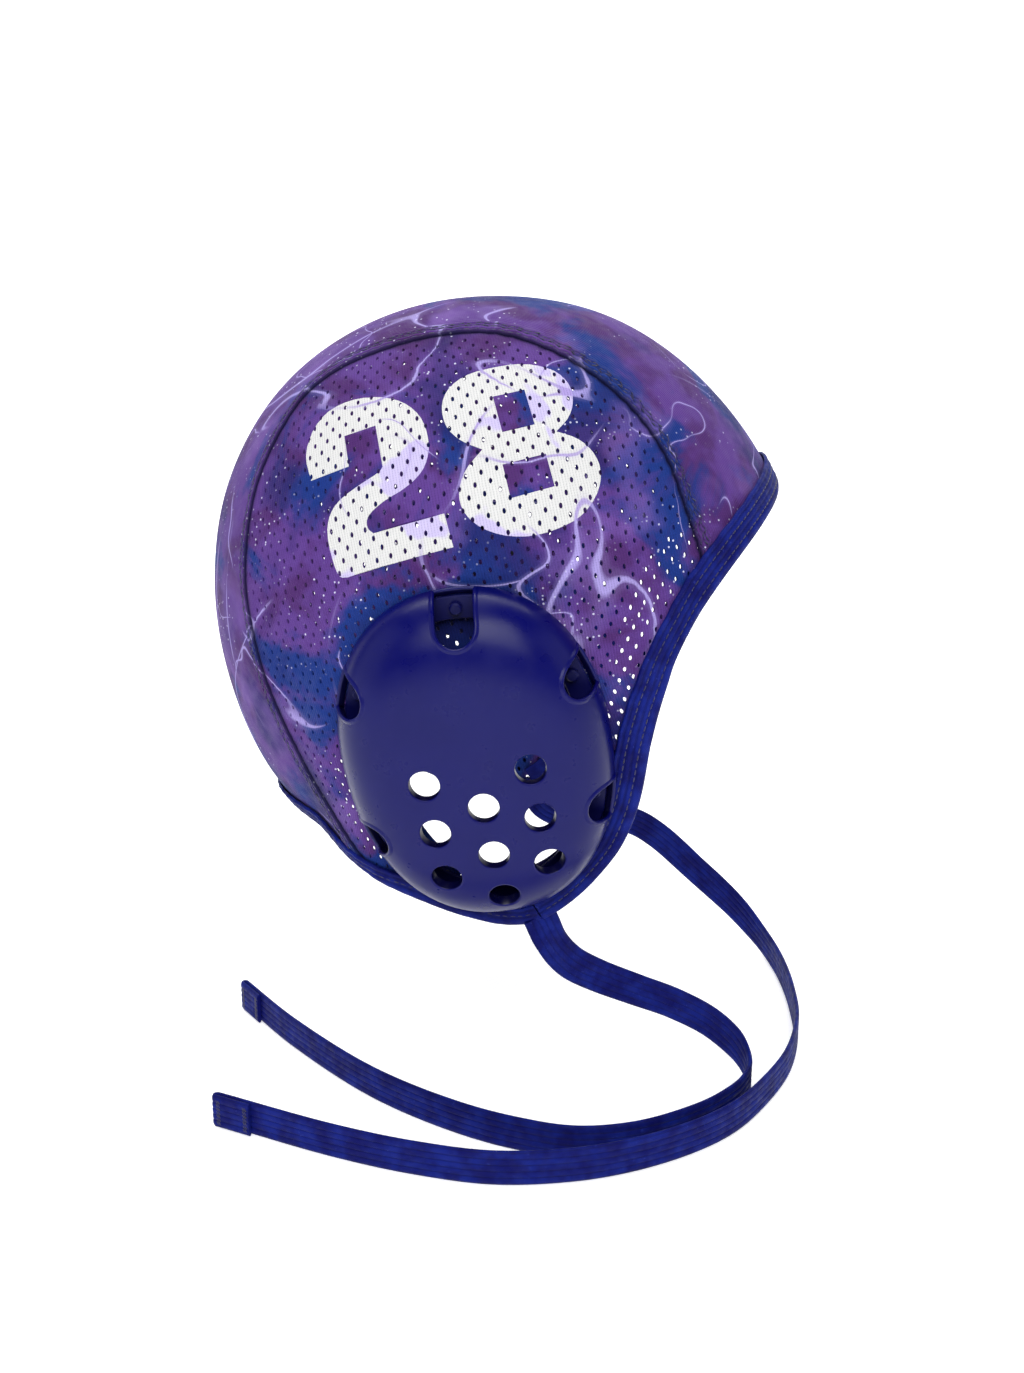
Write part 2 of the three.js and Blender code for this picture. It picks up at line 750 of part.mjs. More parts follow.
// A flat tie along its route. Its faces stay upright, so it bends edgewise where it leaves the flap and then
// stands on its edge in a loose loop. The free end is folded back on itself and sewn.
const tabStep = 0.5; // length of the step up to the folded end
function tie(points) {
  const curve = new THREE.CatmullRomCurve3(points.map(([x, y, z]) => vector(x, y, z)));
  curve.arcLengthDivisions = 20 * tieSteps;
  const length = curve.getLength();
  const tabStart = 1 - tabLength / length;
  const places = evenly(0, tabStart - tabStep / length, tieSteps).concat(evenly(tabStart, 1, 2));
  const up = vector(0, 0, 1);
  const rings = places.map((place) => {
    const point = curve.getPointAt(place);
    const along = curve.getTangentAt(place);
    const face = new THREE.Vector3().crossVectors(up, along).normalize();
    const across = new THREE.Vector3().crossVectors(along, face).normalize();
    const half = (tieThickness + (place >= tabStart ? tabExtra : 0)) / 2;
    const side = tieWidth / 2;
    const soft = tieThickness / 3;
    const section = [
      [side, half - soft],
      [side - soft, half],
      [soft - side, half],
      [-side, half - soft],
      [-side, soft - half],
      [soft - side, -half],
      [side - soft, -half],
      [side, soft - half],
    ];
    return section.map(([wide, thick]) =>
      point.clone().addScaledVector(across, wide).addScaledVector(face, thick),
    );
  });
  const ends = Array.from({ length: rings[0].length - 2 }, (_, i) => [0, i + 1, i + 2]);
  return solidOfRings(rings, ends);
}

function piece(name, look, geometry) {
  const shown = geometry.toNonIndexed();
  shown.computeVertexNormals();
  const mesh = new THREE.Mesh(shown, new THREE.MeshStandardMaterial(LOOKS[look]));
  mesh.name = name;
  return mesh;
}

// The head centre lies this far below the origin.
const sewn = new THREE.Group();
sewn.position.z = fabric - crownHeight;

sewn.add(piece("centre_panel", "print", centrePanel()));
const endPlay = 0.03; // rows from the flap's foot to the end of each binding there
const facePlaces = evenly(flapRow - endPlay, 0, faceSteps);
const napePlaces = evenly(flapRow + endPlay, RIM.length - 1, napeSteps);
sewn.add(piece("face_binding", "elastic", binding(facePlaces, faceBindingWidth)));
sewn.add(piece("nape_binding", "elastic", binding(napePlaces, napeBindingWidth)));

const pairs = [
  ["side_panel", "print", sidePanel()],
  ["guard_ring", "ring", baseRing()],
  ["ear_guard", "guard", earGuard()],
];
for (const [name, look, geometry] of pairs) {
  sewn.add(piece(name + "_right", look, geometry));
  sewn.add(piece(name + "_left", look, mirrored(geometry)));
}

const cap = new THREE.Group();
cap.add(sewn);
for (const [name, points] of Object.entries(TIE_ROUTES)) cap.add(piece(name, "elastic", tie(points)));

export default cap;
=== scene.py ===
"""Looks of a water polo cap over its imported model: cloth panels, elastic edges and ties, and ear guards."""

import math

import bpy
import numpy as np
from bpy.props import FloatProperty, FloatVectorProperty, IntProperty, PointerProperty
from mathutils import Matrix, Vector
from mathutils.geometry import delaunay_2d_cdt


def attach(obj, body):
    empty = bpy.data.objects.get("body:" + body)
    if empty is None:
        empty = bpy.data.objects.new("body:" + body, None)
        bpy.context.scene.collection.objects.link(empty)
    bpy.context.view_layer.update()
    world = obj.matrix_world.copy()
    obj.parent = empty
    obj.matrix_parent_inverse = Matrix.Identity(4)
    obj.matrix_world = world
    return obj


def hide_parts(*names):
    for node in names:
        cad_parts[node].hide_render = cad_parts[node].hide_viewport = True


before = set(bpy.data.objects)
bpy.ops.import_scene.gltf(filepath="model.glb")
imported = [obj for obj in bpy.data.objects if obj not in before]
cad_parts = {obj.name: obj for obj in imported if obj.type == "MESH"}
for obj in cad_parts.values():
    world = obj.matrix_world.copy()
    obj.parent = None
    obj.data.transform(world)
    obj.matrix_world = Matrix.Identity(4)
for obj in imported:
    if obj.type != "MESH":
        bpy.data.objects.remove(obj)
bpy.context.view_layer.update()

bl_info = {
    "name": "Water Polo Cap",
    "version": (1, 0, 0),
    "blender": (4, 5, 0),
    "location": "3D View > Sidebar > Cap",
    "description": "Builds the cloth, elastic and ear guards of a water polo cap over its packed model",
    "category": "Object",
}

# Head that the cap is stretched to, in metres from the head's centre between the ears.
CROWN_HEIGHT = 0.1075
HEAD_HALF_WIDTH = 0.075
SIDE_FULLNESS = 2.3
FABRIC = 0.0012
HEAD_CENTRE = Vector((0, 0, FABRIC - CROWN_HEIGHT))

# Ear guards and the flat of the fabric under them
GUARD_HALF_LENGTH = 0.0526
GUARD_HALF_WIDTH = 0.0405
GUARD_DEPTH = 0.019
GUARD_WALL = 0.002
GUARD_TAPER = 0.03
GUARD_SQUARENESS = 2.2
GUARD_FORWARD = -0.005
GUARD_DOWN = 0.0246
EAR_HALF_WIDTH = 0.0685
GUARD_CANT = math.radians(7)
GUARD_TOE = math.radians(2)
GUARD_ROLL = math.radians(10.5)
FLAT_REACH = 1.02
FLAT_FADE_FACE = 0.85
FLAT_FADE_NAPE = 0.4
SOUND_HOLE_RADIUS = 0.0046
SOUND_HOLE_PITCH = 0.0159
SOUND_COLUMN_PITCH = 0.0157
SOUND_HOLE_TOP = 0.0003
SOUND_FORWARD = 0.0009
SOUND_CENTRE_DROP = 0.0098
WINDOW_WIDTH = 0.0112
TOP_WINDOW = 0.0134
SIDE_WINDOW = 0.0078
WINDOW_BAR = 0.0018
# Degrees round the guard from its upper end, and length in from its outline
WINDOWS = ((3.5, TOP_WINDOW), (66, SIDE_WINDOW), (110, SIDE_WINDOW), (250, SIDE_WINDOW), (301, SIDE_WINDOW))
RING_WIDTH = 0.007
RING_THICKNESS = 0.0014
PEG_RADIUS = 0.0019
PEG_HEIGHT = 0.002
PEG_INSET = 0.0059
EAR_OPENING = {"half_length": 0.033, "half_width": 0.0275, "up": -0.009, "forward": 0.0035}

# Edges
SEAM_GAP = 0.0004
BINDING_WALL = 0.0009
BINDING_CLEARANCE = 0.0006
FOLD_CLEARANCE = 0.0012
EDGE_INSET = BINDING_WALL + FOLD_CLEARANCE
GUARD_SEAT = BINDING_CLEARANCE + BINDING_WALL + 0.0003
FLAP_ROW = 15.6
END_PLAY = 0.03

# Mid-plane outline of the head: angle from straight ahead in degrees, radius as a share of the crown height.
HEAD_OUTLINE = [
    (20, 0.96), (45, 0.974), (70, 1.0), (90, 1.0), (110, 0.998), (130, 0.981), (150, 0.939), (170, 0.889),
    (190, 0.857), (210, 0.853), (225, 0.862), (245, 0.965), (265, 1.12), (285, 1.24), (310, 1.2), (335, 1.03),
    (355, 0.955),
]

# Seam between the centre panel and a side panel: angle, and radius as a share of the head's outline there.
SEAM = [
    (10, 0.655), (20, 0.66), (30, 0.675), (40, 0.705), (50, 0.755), (60, 0.795), (70, 0.83), (80, 0.867),
    (90, 0.898), (100, 0.905), (110, 0.91), (120, 0.92), (127, 0.918), (135, 0.897), (145, 0.873),
    (155, 0.842), (165, 0.82), (175, 0.79), (185, 0.77), (195, 0.752), (205, 0.744), (215, 0.746),
    (235, 0.76),
]

# Lower edge from the middle of the forehead, down the face side of the flap and round the nape.
RIM = [
    (27.2, 1.0), (26.5, 0.966), (25.1, 0.881), (21.8, 0.752), (17.3, 0.654), (11.3, 0.58), (3.5, 0.527),
    (354.7, 0.5), (343.1, 0.476), (331.4, 0.468), (319.5, 0.479), (311.5, 0.498), (304.5, 0.523),
    (297.2, 0.549), (290.2, 0.581), (284.2, 0.613), (278.1, 0.649), (270.9, 0.675), (262.8, 0.692),
    (254.8, 0.717), (247.9, 0.748), (242.4, 0.776), (238.1, 0.796), (234.5, 0.82), (229.2, 0.856),
    (223.3, 0.924), (220.3, 0.975), (219.5, 1.0),
]

# Length of each tie that runs up into the bindings, in metres
TIE_ROOT = 0.0025

# Free run of each tie, in the cap's own frame, in metres.
TIE_ROUTES = {
    "tie_right": [
        (0.0147, -0.062, -0.1895), (0.0169, -0.0613, -0.1948), (0.0198, -0.0596, -0.2002),
        (0.0245, -0.0569, -0.206), (0.033, -0.0532, -0.2122), (0.0455, -0.0502, -0.2186),
        (0.0588, -0.05, -0.2239), (0.071, -0.053, -0.2296), (0.079, -0.0588, -0.2356),
        (0.0812, -0.067, -0.2396), (0.0776, -0.076, -0.2408), (0.07, -0.0855, -0.2408),
        (0.0608, -0.0931, -0.2408), (0.042, -0.1028, -0.2408), (0.0238, -0.1053, -0.2408),
        (0.0061, -0.1003, -0.2408), (-0.0122, -0.091, -0.2408), (-0.0384, -0.0713, -0.2408),
        (-0.0685, -0.038, -0.2408), (-0.0895, -0.0091, -0.2408),
    ],
    "tie_left": [
        (0.0147, 0.062, -0.1895), (0.0178, 0.0618, -0.1944), (0.025, 0.0613, -0.1978),
        (0.0399, 0.061, -0.1983), (0.053, 0.061, -0.2006), (0.0625, 0.06, -0.206),
        (0.0777, 0.056, -0.2189), (0.092, 0.0492, -0.2308), (0.1, 0.04, -0.238),
        (0.104, 0.026, -0.2408), (0.1052, 0.008, -0.2408), (0.1048, -0.012, -0.2408),
        (0.1024, -0.034, -0.2408), (0.0953, -0.057, -0.2408), (0.084, -0.077, -0.2408),
        (0.073, -0.0912, -0.2408), (0.06, -0.1018, -0.2408), (0.042, -0.1114, -0.2408),
        (0.0235, -0.117, -0.2408), (0.0, -0.1186, -0.2408), (-0.023, -0.1136, -0.2408),
        (-0.0473, -0.1046, -0.2408), (-0.0852, -0.0862, -0.2408),
    ],
}

# Plain block numerals as closed outlines: across and up as shares of a numeral's size, and whether the corner
# is sharp. Runs between sharp corners are smoothed.
NUMERALS = {
    "2": [
        (0.36, 0.59, 1), (0.02, 0.59, 1), (0.0, 0.75, 0), (0.08, 0.89, 0), (0.23, 0.98, 0), (0.45, 1.0, 0),
        (0.7, 0.95, 0), (0.86, 0.87, 0), (0.96, 0.76, 0), (0.99, 0.64, 0), (0.97, 0.53, 0), (0.9, 0.44, 0),
        (0.76, 0.375, 0), (0.56, 0.33, 0), (0.43, 0.275, 0), (0.415, 0.22, 0), (0.45, 0.185, 1),
        (0.99, 0.185, 1), (1.0, 0.0, 1), (0.16, 0.005, 1), (0.09, 0.02, 0), (0.065, 0.12, 0),
        (0.08, 0.28, 0), (0.145, 0.37, 0), (0.265, 0.43, 0), (0.59, 0.505, 0), (0.62, 0.525, 1),
        (0.62, 0.78, 1), (0.36, 0.78, 1),
    ],
    "8": [
        (0.225, 0.515, 1), (0.095, 0.595, 0), (0.02, 0.69, 0), (0.015, 0.815, 0), (0.08, 0.915, 0),
        (0.23, 0.985, 0), (0.465, 1.0, 0), (0.69, 0.98, 0), (0.87, 0.905, 0), (0.95, 0.81, 0),
        (0.955, 0.7, 0), (0.885, 0.59, 0), (0.76, 0.515, 1), (0.9, 0.445, 0), (0.98, 0.355, 0),
        (1.0, 0.25, 0), (0.94, 0.14, 0), (0.795, 0.045, 0), (0.615, 0.005, 0), (0.4, 0.0, 0),
        (0.205, 0.05, 0), (0.065, 0.135, 0), (0.0, 0.23, 0), (0.005, 0.325, 0), (0.075, 0.42, 0),
    ],
}
COUNTERS = {"2": [], "8": [(0.39, 0.585, 0.625, 0.81), (0.335, 0.22, 0.645, 0.405)]}
NUMERAL_PLACES = [("2", -0.044, 0.0402, 0.042), ("8", 0.003, 0.0379, 0.043)]  # left, foot, width
NUMERAL_HEIGHT = 0.0535
NUMERAL_LEAN = math.radians(14)


class CapClothSettings(bpy.types.PropertyGroup):
    """Sizes and colours of the three panels."""

    cloth: FloatProperty(name="Cloth", description="Thickness of the panels", default=0.0008, unit="LENGTH")
    hem_width: FloatProperty(name="Hem", description="Width of the folded hem", default=0.0048, unit="LENGTH")
    hem_rise: FloatProperty(name="Hem Rise", description="Height of the hem", default=0.0008, unit="LENGTH")
    pucker: FloatProperty(
        name="Pucker", description="Height of the seam puckers", default=0.0005, unit="LENGTH"
    )
    hole_length: FloatProperty(
        name="Hole Length", description="Length of a mesh hole", default=0.0017, unit="LENGTH"
    )
    hole_width: FloatProperty(
        name="Hole Width", description="Width of a mesh hole", default=0.0011, unit="LENGTH"
    )
    hole_pitch: FloatProperty(
        name="Hole Pitch", description="Pitch across a row of holes", default=0.00475, unit="LENGTH"
    )
    row_pitch: FloatProperty(
        name="Row Pitch", description="Pitch between like rows of holes", default=0.0062, unit="LENGTH"
    )
    rib_pitch: FloatProperty(
        name="Knit Ribs", description="Pitch of the knit's ribs", default=0.0009, unit="LENGTH"
    )
    purple: FloatVectorProperty(
        name="Purple", description="Main colour of the print", default=(0.09, 0.036, 0.215), subtype="COLOR"
    )
    blue: FloatVectorProperty(
        name="Blue", description="Second colour of the print", default=(0.005, 0.026, 0.18), subtype="COLOR"
    )
    plum: FloatVectorProperty(
        name="Plum", description="Darker patches of the print", default=(0.06, 0.016, 0.12), subtype="COLOR"
    )
    thread: FloatVectorProperty(
        name="Lines", description="Pale lines of the print", default=(0.42, 0.36, 0.75), subtype="COLOR"
    )
    number: FloatVectorProperty(
        name="Number", description="Colour of the number", default=(0.62, 0.62, 0.615), subtype="COLOR"
    )


class CapGuardSettings(bpy.types.PropertyGroup):
    """Fineness and colours of the ear guards."""

    lip: FloatProperty(
        name="Lip", description="Width of the rolled window lip", default=0.0015, unit="LENGTH"
    )
    facet: FloatProperty(name="Facet", description="Size of the dome's faces", default=0.0013, unit="LENGTH")
    plastic: FloatVectorProperty(
        name="Plastic", description="Colour of the guards", default=(0.0005, 0.001, 0.082), subtype="COLOR"
    )
    ring: FloatVectorProperty(
        name="Ring", description="Colour of the base rings", default=(0.001, 0.0015, 0.06), subtype="COLOR"
    )


class CapElasticSettings(bpy.types.PropertyGroup):
    """Sizes and colours of the bindings and ties."""

    face_width: FloatProperty(name="Face Binding", description="Its width", default=0.0105, unit="LENGTH")
    nape_width: FloatProperty(name="Nape Binding", description="Its width", default=0.007, unit="LENGTH")
    tie_width: FloatProperty(name="Tie Width", description="Width of a tie", default=0.011, unit="LENGTH")
    tie_thickness: FloatProperty(name="Tie", description="Thickness of a tie", default=0.0016, unit="LENGTH")
    tie_ribs: IntProperty(name="Tie Ribs", description="Lengthwise ribs on a tie", default=5)
    tab_length: FloatProperty(name="Folded End", description="Its length", default=0.014, unit="LENGTH")
    elastic: FloatVectorProperty(
        name="Elastic", description="Colour of the elastic", default=(0.0005, 0.002, 0.09), subtype="COLOR"
    )
    stitch: FloatVectorProperty(
        name="Thread", description="Colour of the thread", default=(0.001, 0.001, 0.02), subtype="COLOR"
    )


class CapStageSettings(bpy.types.PropertyGroup):
    """Floor, lights and camera."""

    floor: FloatProperty(name="Floor", description="Height of the floor", default=-0.2465, unit="LENGTH")
    camera: FloatVectorProperty(
        name="Camera",
        description="Place of the camera",
        default=(0.00517, -0.5, 0.0037),
        subtype="TRANSLATION",
    )
    pitch: FloatProperty(
        name="Pitch",
        description="How far down the camera looks",
        default=math.radians(14.888),
        subtype="ANGLE",
    )
    lens: FloatProperty(name="Lens", description="Focal length in millimetres", default=39.34)


# Shape of the cloth


def share_at(rows, angle, period=0.0):
    """Value of a table at angles in degrees, by a smooth curve through its rows."""
    table = np.array(rows, float)
    if period:
        turn = np.array([period, 0.0])
        table = np.vstack([table[-1:] - turn, table, table[:2] + turn])
        place = (angle - rows[0][0]) % period + rows[0][0]
    else:
        table = np.vstack([table[:1], table, table[-1:]])
        place = np.asarray(angle, float)
    low = np.clip(np.searchsorted(table[:, 0], place, side="right") - 1, 1, len(table) - 3)
    before, start, end, after = (table[low + k] for k in (-1, 0, 1, 2))
    span = end[..., 0] - start[..., 0]
    t = (place - start[..., 0]) / span
    leave = (end[..., 1] - before[..., 1]) / (end[..., 0] - before[..., 0]) * span
    arrive = (after[..., 1] - start[..., 1]) / (after[..., 0] - start[..., 0]) * span
    t2, t3 = t * t, t * t * t
    return (
        (2 * t3 - 3 * t2 + 1) * start[..., 1]
        + (t3 - 2 * t2 + t) * leave
        + (3 * t2 - 2 * t3) * end[..., 1]
        + (t3 - t2) * arrive
    )


def smoothstep(value, low, high):
    t = np.clip((value - low) / (high - low), 0, 1)
    return t * t * (3 - 2 * t)


def polar_points(angle, reach):
    """Points at angles in degrees and distances."""
    return np.stack([reach * np.cos(np.radians(angle)), reach * np.sin(np.radians(angle))], -1)


def angles_of(points):
    return np.degrees(np.arctan2(points[..., 1], points[..., 0])) % 360


def chart_point(angle, share):
    """A chart point is the angle from the ear pole, in the direction seen from the side, in degrees."""
    reach = np.degrees(np.arcsin(np.minimum(share, 1) ** (SIDE_FULLNESS / 2)))
    return polar_points(angle, reach)


def surface(chart):
    """Points of the cloth's outer face on the wearer's right, from the head's centre."""
    reach = np.linalg.norm(chart, axis=-1)
    left = reach > 90
    polar = np.radians(np.where(left, 180 - reach, reach))
    bearing = np.arctan2(chart[..., 1], chart[..., 0])
    outline = CROWN_HEIGHT * share_at(HEAD_OUTLINE, np.degrees(bearing), 360)
    radius = outline * np.clip(np.sin(polar), 0, 1) ** (2 / SIDE_FULLNESS)
    x, z = radius * np.cos(bearing), radius * np.sin(bearing)
    ahead, above = x - GUARD_FORWARD, z + GUARD_DOWN
    across, up = ahead / GUARD_HALF_WIDTH, above / GUARD_HALF_LENGTH
    facing = (1 + np.cos(np.arctan2(up, across))) / 2
    fade = FLAT_FADE_NAPE + (FLAT_FADE_FACE - FLAT_FADE_NAPE) * facing
    flat = 1 - smoothstep(np.hypot(across, up), FLAT_REACH, FLAT_REACH + fade)
    plane = EAR_HALF_WIDTH + above * math.tan(GUARD_CANT) + ahead * math.tan(GUARD_TOE)
    half_width = (1 - flat) * HEAD_HALF_WIDTH * np.cos(polar) + flat * plane
    return np.stack([x, np.where(left, half_width, -half_width), z], -1)


def slopes(chart, step=0.05):
    across, up = np.array([step, 0.0]), np.array([0.0, step])
    return (
        (surface(chart + across) - surface(chart - across)) / (2 * step),
        (surface(chart + up) - surface(chart - up)) / (2 * step),
    )


def unit(vectors):
    return vectors / np.maximum(np.linalg.norm(vectors, axis=-1, keepdims=True), 1e-12)


def lengths_along(points):
    """Length walked from the first of a row of points to each of them."""
    return np.concatenate([[0], np.cumsum(np.linalg.norm(np.diff(points, axis=0), axis=1))])


def outwards(chart):
    normal = unit(np.cross(*slopes(chart)))
    facing = np.sum(normal * surface(chart), axis=-1, keepdims=True)
    return np.where(facing < 0, -normal, normal)


def raised(chart, offset):
    """Points at a height over the cloth's outer face."""
    return surface(chart) + outwards(chart) * np.asarray(offset)[..., None]


def walk(chart, direction, distance, steps=3):
    """Chart points reached by walking over the cloth a distance along a direction."""
    place = np.array(chart, float)
    for _ in range(steps):
        a, b = slopes(place)
        aa, ab, bb = (np.sum(p * q, axis=-1) for p, q in ((a, a), (a, b), (b, b)))
        da, db = np.sum(a * direction, axis=-1), np.sum(b * direction, axis=-1)
        scale = distance / steps / (aa * bb - ab * ab)
        place = place + np.stack([(da * bb - db * ab) * scale, (db * aa - da * ab) * scale], -1)
    return place


def spline(points, place):
    """Points of a smooth curve through points, at places counted in points from the first."""
    points = np.asarray(points, float)
    ends = np.vstack([2 * points[:1] - points[1:2], points, 2 * points[-1:] - points[-2:-1]])
    low = np.clip(np.floor(place).astype(int), 0, len(points) - 2)
    t = (place - low)[..., None]
    p0, p1, p2, p3 = (ends[low + k] for k in range(4))
    d0, d1, d2 = (
        np.maximum(np.linalg.norm(b - a, axis=-1, keepdims=True), 1e-9) ** 0.5
        for a, b in ((p0, p1), (p1, p2), (p2, p3))
    )
    leave = ((p1 - p0) / d0 - (p2 - p0) / (d0 + d1) + (p2 - p1) / d1) * d1
    arrive = ((p2 - p1) / d1 - (p3 - p1) / (d1 + d2) + (p3 - p2) / d2) * d1
    return (
        p1 + leave * t + (3 * (p2 - p1) - 2 * leave - arrive) * t**2 + (2 * (p1 - p2) + leave + arrive) * t**3
    )


def over_mid_plane(row):
    right = chart_point(*row)
    reach = np.linalg.norm(right)
    return right * (180 - reach) / reach


RIM_POINTS = np.array([over_mid_plane(RIM[1]), *[chart_point(*row) for row in RIM], over_mid_plane(RIM[-2])])


def rim_at(row):
    return spline(RIM_POINTS, np.asarray(row, float) + 1)


def rim_frame(row, step=0.02):
    """Chart points of the rim at places in rows of RIM, and the directions into the panels there."""
    row = np.asarray(row, float)
    chart = rim_at(row)
    along = unit(surface(rim_at(row + step)) - surface(rim_at(row - step)))
    return chart, -unit(np.cross(outwards(chart), along))


def rim_inset(row, distance=EDGE_INSET):
    chart, inwards = rim_frame(row)
    return walk(chart, inwards, distance)


def seam_row(low, high):
    """Place along the rim where a seam runs out, by halving a stretch that it lies in."""

    def outside(row):
        chart = rim_inset(row)
        angle = angles_of(chart)
        return np.linalg.norm(chart) > np.linalg.norm(chart_point(angle, share_at(SEAM, angle)))

    start = outside(low)
    while abs(high - low) > 1e-6:
        middle = (low + high) / 2
        low, high = (middle, high) if outside(middle) == start else (low, middle)
    return (low + high) / 2


FOREHEAD_ROW = seam_row(1.5, 6)
NAPE_ROW = seam_row(len(RIM) - 2.5, len(RIM) - 7)
SEAM_START = float(angles_of(rim_inset(FOREHEAD_ROW)))
SEAM_END = float(angles_of(rim_inset(NAPE_ROW)))


def seam_at(share):
    """Chart points of the seam at shares of the way from the forehead to the nape."""
    angle = SEAM_START + (SEAM_END - SEAM_START) * np.asarray(share, float)
    return chart_point(angle, share_at(SEAM, angle))


# The cloth map lays a side panel out flat: distances from the ear pole are walked lengths over the head.
_polar = np.radians(np.linspace(0, 120, 2401))
_radius = CROWN_HEIGHT * np.clip(np.sin(_polar), 0, 1) ** (2 / SIDE_FULLNESS)
_steps = np.hypot(np.diff(_radius), np.diff(HEAD_HALF_WIDTH * np.cos(_polar)))
_walked = np.concatenate([[0], np.cumsum(_steps)])


def scaled(points, lengths, others):
    """Points drawn in or out so that each distance in lengths becomes the one in others."""
    reach = np.linalg.norm(points, axis=-1)
    return points * (np.interp(reach, lengths, others) / np.maximum(reach, 1e-9))[..., None]


def to_map(chart):
    return scaled(chart, np.degrees(_polar), _walked)


def to_chart(cloth_map):
    return scaled(cloth_map, _walked, np.degrees(_polar))


def chart_of(x, z):
    """Chart points of places given in the side view."""
    angle = np.degrees(np.arctan2(z, x))
    return chart_point(angle, np.hypot(x, z) / (CROWN_HEIGHT * share_at(HEAD_OUTLINE, angle, 360)))


# Flat layouts that are cut into triangles


def inside(points, loop):
    """Whether points lie in a closed loop."""
    x, y = points[:, 0][:, None], points[:, 1][:, None]
    x0, y0 = loop[:, 0][None], loop[:, 1][None]
    x1, y1 = np.roll(loop[:, 0], -1)[None], np.roll(loop[:, 1], -1)[None]
    spans = (y0 > y) != (y1 > y)
    rise = np.where(y1 == y0, 1e-12, y1 - y0)
    return (np.sum(spans & (x < x0 + (y - y0) * (x1 - x0) / rise), axis=1) % 2) == 1


def distance_to(points, loop):
    """Distance from points to a closed loop of straight edges."""
    a, b = loop, np.roll(loop, -1, axis=0)
    edge = b - a
    gap = points[:, None, :] - a[None]
    t = np.clip(np.sum(gap * edge[None], -1) / np.maximum(np.sum(edge * edge, -1), 1e-18)[None], 0, 1)
    return np.min(np.linalg.norm(gap - t[..., None] * edge[None], axis=-1), axis=1)


def honeycomb(low, high, pitch):
    """Points of an even three-way grid over a rectangle."""
    xs = np.arange(low[0], high[0], pitch)
    ys = np.arange(low[1], high[1], pitch * math.sqrt(3) / 2)
    grid = np.stack(np.meshgrid(xs, ys), -1)
    grid[1::2, :, 0] += pitch / 2
    return grid.reshape(-1, 2)


def cut_layout(loops, points):
    """Triangles of a flat layout. Returns its corners, triangles, and the corner of each loop's points."""
    corners, edges, starts = [], [], []
    for loop in loops:
        base = len(corners)
        starts.append(base)
        corners.extend(map(Vector, loop.tolist()))
        count = len(loop)
        edges.extend((base + i, base + (i + 1) % count) for i in range(count))
    corners.extend(map(Vector, points.tolist()))
    flat, _, faces, origins, _, _ = delaunay_2d_cdt(corners, edges, [], 0, 1e-7, True)
    new_place = {}
    for index, old in enumerate(origins):
        for one in old:
            new_place[one] = index
    rings = [np.array([new_place[start + i] for i in range(len(loop))]) for start, loop in zip(starts, loops)]
    return np.array([list(v) for v in flat]), np.array([list(f) for f in faces if len(f) == 3]), rings


def border_edges(triangles):
    """Edges that one triangle alone has, in its direction."""
    edges = np.concatenate([triangles[:, [0, 1]], triangles[:, [1, 2]], triangles[:, [2, 0]]])
    keys = np.sort(edges, axis=1)
    _, index, counts = np.unique(keys, axis=0, return_index=True, return_counts=True)
    return edges[index[counts == 1]]


# Pieces


def build_piece(name, points, faces, material, replaced=(), centre=HEAD_CENTRE, sharp=35):
    """A smooth-shaded piece on the cap, from points in metres, that stands for CAD nodes."""
    mesh = bpy.data.meshes.new(name)
    mesh.from_pydata((np.asarray(points) + np.array(centre)).tolist(), [], [list(map(int, f)) for f in faces])
    mesh.validate(clean_customdata=False)
    mesh.update()
    mesh.shade_smooth()
    mesh.set_sharp_from_angle(angle=math.radians(sharp))
    mesh.materials.append(material)
    piece = bpy.data.objects.new(name, mesh)
    bpy.context.scene.collection.objects.link(piece)
    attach(piece, "root")
    if replaced:
        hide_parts(*replaced)
    return piece


def mark(piece, name, values, domain="POINT"):
    """Keeps a number or a vector for each corner of a piece, for its finish to read."""
    values = np.asarray(values, np.float32)
    vector = values.ndim == 2
    attribute = piece.data.attributes.new(name, "FLOAT_VECTOR" if vector else "FLOAT", domain)
    attribute.data.foreach_set("vector" if vector else "value", values.ravel())


def flip_side(points):
    return points * np.array([1.0, -1.0, 1.0])


def turn_matrix(angle):
    """Turns rows of flat points anticlockwise when they are multiplied by it."""
    c, s = math.cos(angle), math.sin(angle)
    return np.array([[c, s], [-s, c]])


def sweep_faces(rings, size):
    """Quads between closed rings of points that follow each other."""
    faces = []
    for i in range(rings - 1):
        for j in range(size):
            k = (j + 1) % size
            faces.append((i * size + j, i * size + k, (i + 1) * size + k, (i + 1) * size + j))
    return faces


def end_faces(rings, size):
    """Quads across the first and the last ring of a flat strap."""
    first = [(j, size - 1 - j, size - 2 - j, j + 1) for j in range(size // 2 - 1)]
    last = (rings - 1) * size
    return [*first, *(tuple(last + v for v in reversed(f)) for f in first)]


